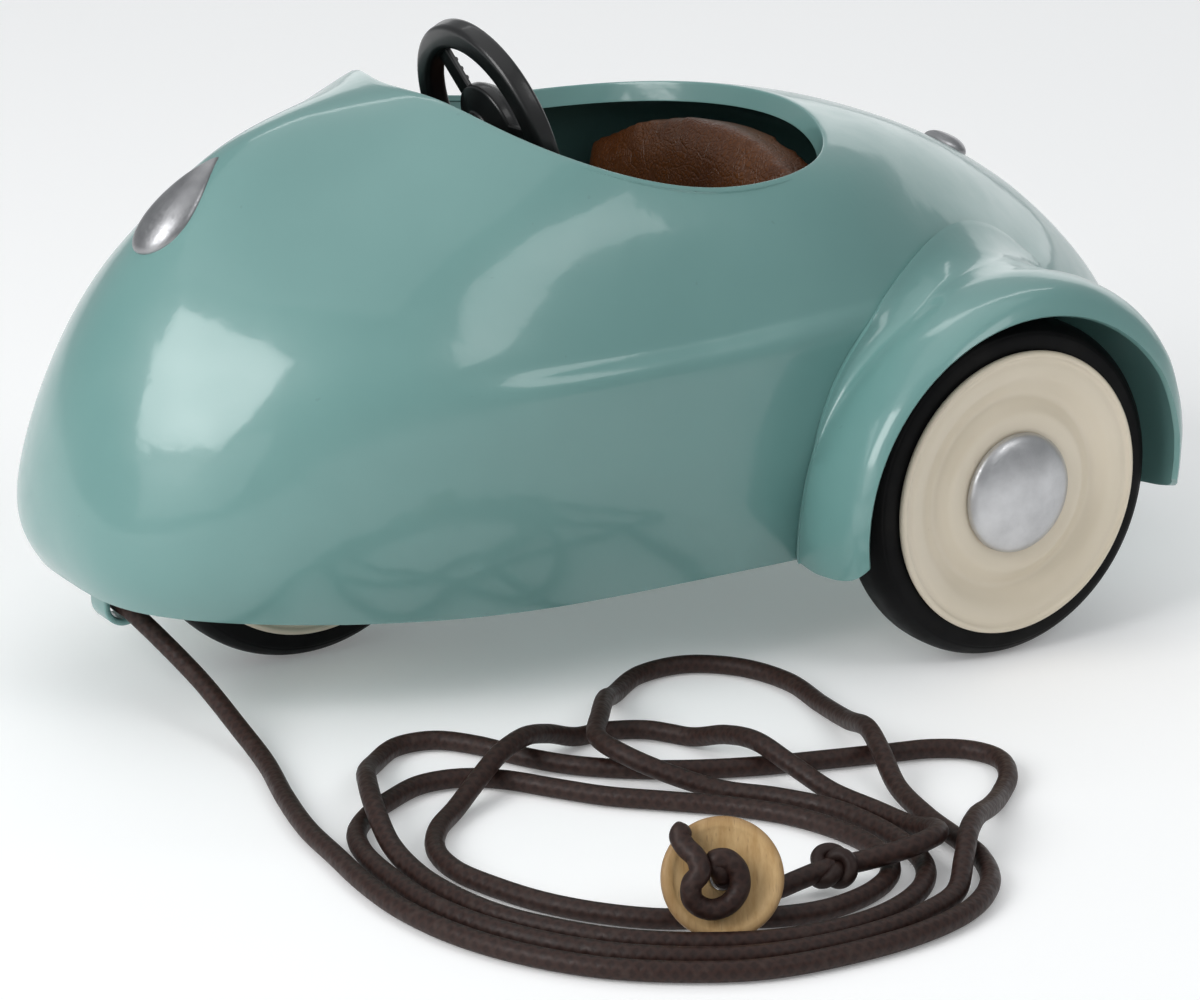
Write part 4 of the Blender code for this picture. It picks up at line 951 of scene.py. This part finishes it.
def disc_profile(side):
    """Pressed disc: flat hub land, a round groove, a domed annulus and a rolled bead."""
    face = [tuple(p) for p in through([(r, DISC_EDGE - behind) for r, behind in DISC_FACE], 5)]
    bead = [(BEAD_AT_R + BEAD_R * math.cos(a), DISC_EDGE - BEAD_R + BEAD_R * math.sin(a))
            for a in np.radians(np.linspace(150, -40, 14))]
    back = [(r, h - DISC_SHEET) for r, h in reversed(face)]
    outline = face + bead + back
    return outline if side > 0 else [(r, -h) for r, h in reversed(outline)]


def cap_profile():
    """Spun dome with a thin rolled edge, hollow behind."""
    dome = [(CAP_R * math.sin(a), CAP_RISE * math.cos(a)) for a in np.radians(np.linspace(0, 84, 22))]
    edge = [(CAP_R, 0.15), (CAP_R + 0.02, -0.35), (CAP_R - 0.3, -0.55), (CAP_R - 0.8, -0.4)]
    hollow_r, hollow_rise = CAP_R - CAP_SHEET, CAP_RISE - 1.0
    hollow = [(hollow_r * math.sin(a), hollow_rise * math.cos(a)) for a in np.radians(np.linspace(80, 0, 10))]
    return dome + edge + hollow


def add_wheel(name, cap_side):
    """One wheel's pieces about the joint that it spins on."""
    centre = Vector(joints[name + "_wheel"]["pos_m"]) / MM
    spin = along_axis((0, 1, 0))
    tyre = turned(name + "_tyre_fine", tyre_profile(name + "_tyre"), 180)
    show(name + "_tyre_ring", tyre, "rubber", "tyre_rubber", name + "_tyre", location=centre, turn=spin)
    for side, label in ((1, "left"), (-1, "right")):
        disc = turned("disc", disc_profile(side), 180)
        show(f"{name}_pressed_disc_{label}", disc, "cream", "wheel_paint", f"{name}_disc_{label}",
             location=centre, turn=spin)
    sleeve = [(BUSH_R, BUSH_HALF), (BUSH_R, -BUSH_HALF), (AXLE_BORE, -BUSH_HALF), (AXLE_BORE, BUSH_HALF)]
    show(name + "_sleeve", turned("sleeve", rounded(sleeve, 0.3), 64), "steel", "bare_steel", name + "_bush",
         location=centre, turn=spin)
    if cap_side:
        seat = centre + Vector((0, cap_side * CAP_SEAT, 0))
        cap = turned("cap", cap_profile(), 128, closed=False)
        show(name + "_cap", cap, "silver", "silver_paint", name + "_hub_cap", location=seat,
             turn=along_axis((0, cap_side, 0)))


add_wheel("rear_left", 1)
add_wheel("rear_right", -1)
add_wheel("front", 0)


# --- Axles and fasteners ---

def add_rod(node_name, bore=0.0):
    """Rod or ring along Y, as long and thick as its CAD node, with eased ends."""
    size = high_of(node_name) - low_of(node_name)
    radius, half = size.x / 2, size.y / 2
    profile = [(bore, half), (radius, half), (radius, -half), (bore, -half)]
    mesh = turned(node_name, rounded(profile, 0.25, 3, closed=bore > 0), 64, closed=bore > 0)
    show(node_name + "_turned", mesh, "steel", "bare_steel", node_name, location=middle_of(node_name),
         turn=along_axis((0, 1, 0)))


SCREW_SHANK_R = 1.2
SCREW_HEAD = 1.3
SCREW_PITCH = 0.5


def add_screw(node_name):
    """Pan-head screw with a cross recess, its thread cut as fine rings."""
    low, high = low_of(node_name), high_of(node_name)
    seat, shank = high.z - SCREW_HEAD, SCREW_SHANK_R
    head = [(0, high.z), (0.9, high.z - 0.06), (1.7, high.z - 0.35), (2.25, seat + 0.35), (2.4, seat),
            (shank, seat)]
    thread = []
    for z in np.arange(seat - 0.3, low.z + 0.3, -SCREW_PITCH):
        thread += [(shank, z), (shank - 0.18, z - SCREW_PITCH / 2)]
    profile = [(r, h - low.z) for r, h in head + thread + [(shank - 0.3, low.z), (0, low.z)]]
    screw = loose_object("screw", turned("screw", profile, 40, closed=False))
    slots = []
    for turn in (0.0, math.pi / 2):
        bpy.ops.mesh.primitive_cube_add(size=1)
        slot = bpy.context.object
        slot.scale = Vector((2.6, 0.42, 1.4)) * MM
        slot.rotation_euler.z = turn
        slot.location.z = (high.z - low.z + 0.1) * MM
        slots.append(slot)
        modifier(screw, "BOOLEAN", operation="DIFFERENCE", object=slot, solver="EXACT")
    mesh = tidied(applied(screw), sharp=30)
    for slot in slots:
        bpy.data.objects.remove(slot, do_unlink=True)
    place = middle_of(node_name)
    show(node_name + "_cross_head", mesh, "steel", "bare_steel", node_name,
         location=(place.x, place.y, low.z))


add_rod("rear_axle")
add_rod("front_axle")
for end in ("rear", "front"):
    for side in ("left", "right"):
        add_rod(f"{end}_spacer_{side}", AXLE_BORE)
        add_rod(f"{end}_push_nut_{side}", AXLE_BORE)
        for number in (1, 2):
            add_screw(f"{end}_bracket_{side}_screw_{number}")


# --- Steering ---

RING_R = 19.4
HUB_R = 9.0
SPOKE_ANGLES = (327, 87, 207)
COLUMN_R = 1.8
# Spans along the column, measured down from the hub's middle
COLUMN_ENDS = (1.7, 40.0)
COLUMN_BUSH = (26.49, 34.49)
COLUMN_NUT = (34.79, 35.69)
SPOKE_FROM_R = 5.0
steer_hub = Vector(joints["steering"]["pos_m"]) / MM
to_driver = Vector(joints["steering"]["axis"])


def wheel_frame():
    """Rotation whose Y axis is the steering wheel's top and whose Z axis faces the driver."""
    upward = to_driver.cross(Vector((0, 1, 0)))
    upward = upward if upward.z > 0 else -upward
    return Matrix((upward.cross(to_driver), upward, to_driver)).transposed()


def spoke_mesh(degrees):
    """Bar from hub to rim with a raised spine, made lying along Y and then turned."""
    path = [(0, y, 0.2) for y in np.linspace(SPOKE_FROM_R, RING_R, 12)]
    right = [(2.1, -0.8), (2.1, 0.35), (0.9, 0.55), (0.55, 1.0)]
    left = [(-across, up) for across, up in reversed(right)]
    mesh = swept("spoke", path, rounded(right + left, 0.35, 3))
    mesh.transform(Matrix.Rotation(math.radians(degrees), 4, "Z"))
    return mesh


def stud(radius, height, reach, degrees, z):
    """Small domed rivet head, reach away from the hub's middle."""
    dome = [(radius * math.sin(a), height * math.cos(a)) for a in np.radians(np.linspace(0, 90, 7))]
    mesh = turned("stud", dome + [(radius, -1.2), (0, -1.2)], 24, closed=False)
    angle = math.radians(degrees)
    mesh.transform(Matrix.Translation(Vector((reach * math.cos(angle), reach * math.sin(angle), z)) * MM))
    return mesh


def add_steering_wheel():
    """Squarish rim, three spined spokes with studs and a stepped hub, joined as one casting."""
    section = rounded([(RING_R + 2.7, 1.6), (RING_R + 2.2, -2.0), (RING_R - 2.2, -2.4), (RING_R - 2.7, 1.4),
                       (RING_R - 0.6, 2.5)], 1.0, 5)
    socket_r = COLUMN_R + 0.3
    hub = [(0, 5.6), (1.6, 5.4), (2.6, 4.6), (2.9, 3.8), (5.2, 3.5), (5.8, 4.0), (7.2, 3.8), (8.2, 2.6),
           (HUB_R, 1.2), (HUB_R, -0.6), (4.2, -2.2), (4.2, -7.0), (socket_r, -7.0), (socket_r, -1.4),
           (0, -1.4)]
    casting = loose_object("casting", turned("rim", section, 144))
    others = [turned("hub", rounded(hub, 0.5, 3, closed=False), 72, closed=False)]
    for degrees in SPOKE_ANGLES:
        others.append(spoke_mesh(degrees))
        others += [stud(0.55, 0.5, reach, degrees + 90, 1.15) for reach in (10.6, 12.6, 14.6)]
        others.append(stud(0.8, 0.7, 4.4, degrees + 150, 3.5))
    joined = [loose_object("join", mesh) for mesh in others]
    for other in joined:
        modifier(casting, "BOOLEAN", operation="UNION", object=other, solver="EXACT")
    mesh = tidied(applied(casting), weld=0.004, sharp=42)
    for other in joined:
        bpy.data.objects.remove(other, do_unlink=True)
    show("steering_wheel_casting", mesh, "black", "black_enamel", "steering_wheel", location=steer_hub,
         turn=wheel_frame().to_quaternion())


def add_on_column(name, node_name, profile, closed):
    """Steel piece turned about the column's axis."""
    mesh = turned(name, rounded(profile, 0.3, 3, closed=closed), 48, closed=closed)
    show(name, mesh, "steel", "bare_steel", node_name, location=steer_hub, turn=along_axis(to_driver))


def add_steering_column():
    start, end = COLUMN_ENDS
    rod = [(0, -start), (COLUMN_R, -start), (COLUMN_R, -end), (0, -end)]
    add_on_column("steering_shaft", "steering_column", rod, closed=False)
    bore = COLUMN_R + 0.25
    for name, node_name, (near, far) in (("shaft_bush", "column_bush", COLUMN_BUSH),
                                         ("shaft_push_nut", "column_push_nut", COLUMN_NUT)):
        tube = [(BUSH_R, -near), (BUSH_R, -far), (bore, -far), (bore, -near)]
        add_on_column(name, node_name, tube, closed=True)


add_steering_wheel()
add_steering_column()


# --- Towing loop ---

def add_staple():
    """U strap with rounded edges hung under the nose."""
    low, high = low_of("tow_staple"), high_of("tow_staple")
    middle = middle_of("tow_staple")
    half, thin = (high.y - low.y) / 2, SHEET / 2
    bend = (high.x - low.x) / 2 - thin
    foot = low.z + thin + bend
    arch = [(middle.x + bend * math.cos(a), middle.y, foot + bend * math.sin(a))
            for a in np.radians(np.linspace(180, 360, 33))]
    ends = (high.z, foot + 1.5)
    rear, front = [[(x, middle.y, z) for z in ends] for x in (low.x + thin, high.x - thin)]
    section = rounded([(-half, -thin), (half, -thin), (half, thin), (-half, thin)], 0.5, 4)
    mesh = swept("tow_strap", rear + arch + front[::-1], section, up=(1, 0, 0))
    show("tow_strap", mesh, "body", "body_paint", "tow_staple")


add_staple()


# --- Seat ---

SIM_SCALE = 10.0              # the cloth is worked out ten times larger, where its settings are at home
SIM_STEPS = 20
PAD_VOXEL = 1.5
PAD_SMOOTHING = 8
PAD_INSET = 1.0
PAD_CLOTH = {"quality": 6, "mass": 0.3, "tension_stiffness": 12, "compression_stiffness": 12,
             "shear_stiffness": 6, "bending_stiffness": 0.4, "use_pressure": True,
             "uniform_pressure_force": 4.0}
GATHER_DEPTH = 0.16
GATHER_EDGE = 2.2
DENT_DEPTH = 0.35


def blown_up(mesh, name, cap):
    """Points of a closed pad after a short cloth simulation; none moves further than cap."""
    rest = read_points(mesh)
    obj = loose_object(name, mesh.copy())
    cloth = modifier(obj, "CLOTH").settings
    for key, value in PAD_CLOTH.items():
        setattr(cloth, key, value)
    cloth.effector_weights.gravity = 0.0
    for step in range(1, SIM_STEPS + 1):
        scene.frame_set(step)
    moved = read_points(applied(obj)) - rest
    scene.frame_set(1)
    reach = np.linalg.norm(moved, axis=1)[:, None]
    limit = cap * SIM_SCALE * MM
    return rest + moved / np.maximum(reach, 1e-9) * limit * np.tanh(reach / limit)


def puffed(mesh, name, cap):
    """The pad with rounded edges and its sides blown out by up to cap."""
    mesh.transform(Matrix.Scale(SIM_SCALE, 4))
    obj = loose_object(name, mesh)
    modifier(obj, "REMESH", mode="VOXEL", voxel_size=PAD_VOXEL * SIM_SCALE * MM, use_smooth_shade=True)
    modifier(obj, "SMOOTH", factor=0.5, iterations=PAD_SMOOTHING)
    mesh = applied(obj)
    mesh.vertices.foreach_set("co", blown_up(mesh, name, cap).ravel())
    mesh.transform(Matrix.Scale(1 / SIM_SCALE, 4))
    obj = loose_object(name, mesh)
    modifier(obj, "SUBSURF", levels=1)
    return applied(obj)


def shrunk_solid(node_name, inset):
    """Copy of a CAD solid with its faces moved inwards."""
    obj = loose_object("pad", frame["nodes"][node_name].data.copy())
    modifier(obj, "WELD", merge_threshold=0.00001)
    modifier(obj, "SUBSURF", levels=2, subdivision_type="SIMPLE")
    modifier(obj, "DISPLACE", strength=-inset * MM, mid_level=0.0)
    return applied(obj)


def wrinkled(mesh):
    """Press small gathers into the leather where it is pulled round the pad's edges."""
    points = read_points(mesh) / MM
    normals = read_points(mesh, "normal")
    for i, (point, normal) in enumerate(zip(points, normals)):
        edge = min((1 - abs(normal).max()) * GATHER_EDGE, 1.0)
        swirl = noise.noise(Vector(point) * 0.16) * 6.6
        ridge = math.sin(point[1] * 1.9 + swirl + point[2] * 0.4)
        patch = 0.5 + 0.5 * noise.noise(Vector(point) * 0.09 + Vector((7, 3, 1)))
        dent = noise.noise(Vector(point) * 0.055 + Vector((1, 9, 4))) * DENT_DEPTH
        points[i] = point + normal * (GATHER_DEPTH * ridge * patch * edge + dent)
    mesh.vertices.foreach_set("co", (points * MM).ravel())
    return mesh


def add_seat():
    """Both leather pads: the most that each swells, and how firmly it is filled."""
    pads = (("seat_cushion", "seat_pad", 1.9, 0.7), ("seat_back", "back_pad", 1.7, 0.65))
    for node_name, name, cap, fill in pads:
        mesh = wrinkled(puffed(shrunk_solid(node_name, PAD_INSET), name, cap))
        pad = show(name, tidied(mesh, sharp=180), "leather", "seat_leather", node_name)


add_seat()


# --- Pieces kept from the CAD model ---

def dress(node_name, paint):
    """Paint a node that is shown as it is."""
    mesh = frame["nodes"][node_name].data
    mesh.materials.clear()
    mesh.materials.append(paints[paint])


for node_name in ("floor_pan", "seat_bench", "dash_plate"):
    dress(node_name, "body")
for end in ("front", "rear"):
    for side in ("left", "right"):
        dress(f"{end}_bracket_{side}", "steel")


# --- Floor, light and air ---

FLOOR_M = 12.0
# Name, azimuth, elevation, distance, width and height in metres, and radiance
SOFTBOXES = (
    ("front_softbox", 8, 31, 1.25, 0.68, 0.66, 6.3),
    ("side_softbox", 106, 42, 1.1, 0.5, 0.36, 2.8),
    ("top_softbox", -60, 82, 2.0, 2.2, 2.2, 0.55),
    ("back_softbox", -140, 12, 2.3, 3.2, 0.9, 1.0),
    ("rim_softbox", -125, 52, 2.0, 1.8, 0.12, 3.5),
    ("low_softbox", 18, 9, 1.8, 1.3, 0.4, 0.9),
)
SOFTBOX_AIM_M = (0, 0, 0.07)
AIR_COLOUR = (0.93, 0.97, 1.0, 1.0)
AIR_STRENGTH = 0.34


def add_floor():
    """Plain white paper under and behind the car."""
    bpy.ops.mesh.primitive_plane_add(size=FLOOR_M)
    floor = bpy.context.object
    floor.name = "studio_floor"
    mat = material("floor_paper", Base_Color=(0.9, 0.9, 0.9), Roughness=0.8, Specular_IOR_Level=0.2,
                   Emission_Color=(1.0, 1.0, 1.0), Emission_Strength=0.16)
    grain = noise_at(mat, coordinates(mat), 900, 2)
    finish_material(mat, bumps=[(grain, 0.01)])
    floor.data.materials.append(mat)


def add_softbox(name, azimuth, elevation, distance, width, height, radiance):
    """Rectangular light aimed at the car."""
    a, e = math.radians(azimuth), math.radians(elevation)
    away = Vector((math.cos(a) * math.cos(e), math.sin(a) * math.cos(e), math.sin(e)))
    data = bpy.data.lights.new(name, "AREA")
    data.shape = "RECTANGLE"
    data.size = width
    data.size_y = height
    data.energy = radiance * math.pi * width * height
    lamp = bpy.data.objects.new(name, data)
    scene.collection.objects.link(lamp)
    lamp.location = Vector(SOFTBOX_AIM_M) + away * distance
    lamp.rotation_euler = (-away).to_track_quat("-Z", "Y").to_euler()


def add_light():
    world = bpy.data.worlds.new("air")
    scene.world = world
    world.use_nodes = True
    background = world.node_tree.nodes["Background"]
    background.inputs["Color"].default_value = AIR_COLOUR
    background.inputs["Strength"].default_value = AIR_STRENGTH
    for softbox in SOFTBOXES:
        add_softbox(*softbox)


add_floor()
add_light()
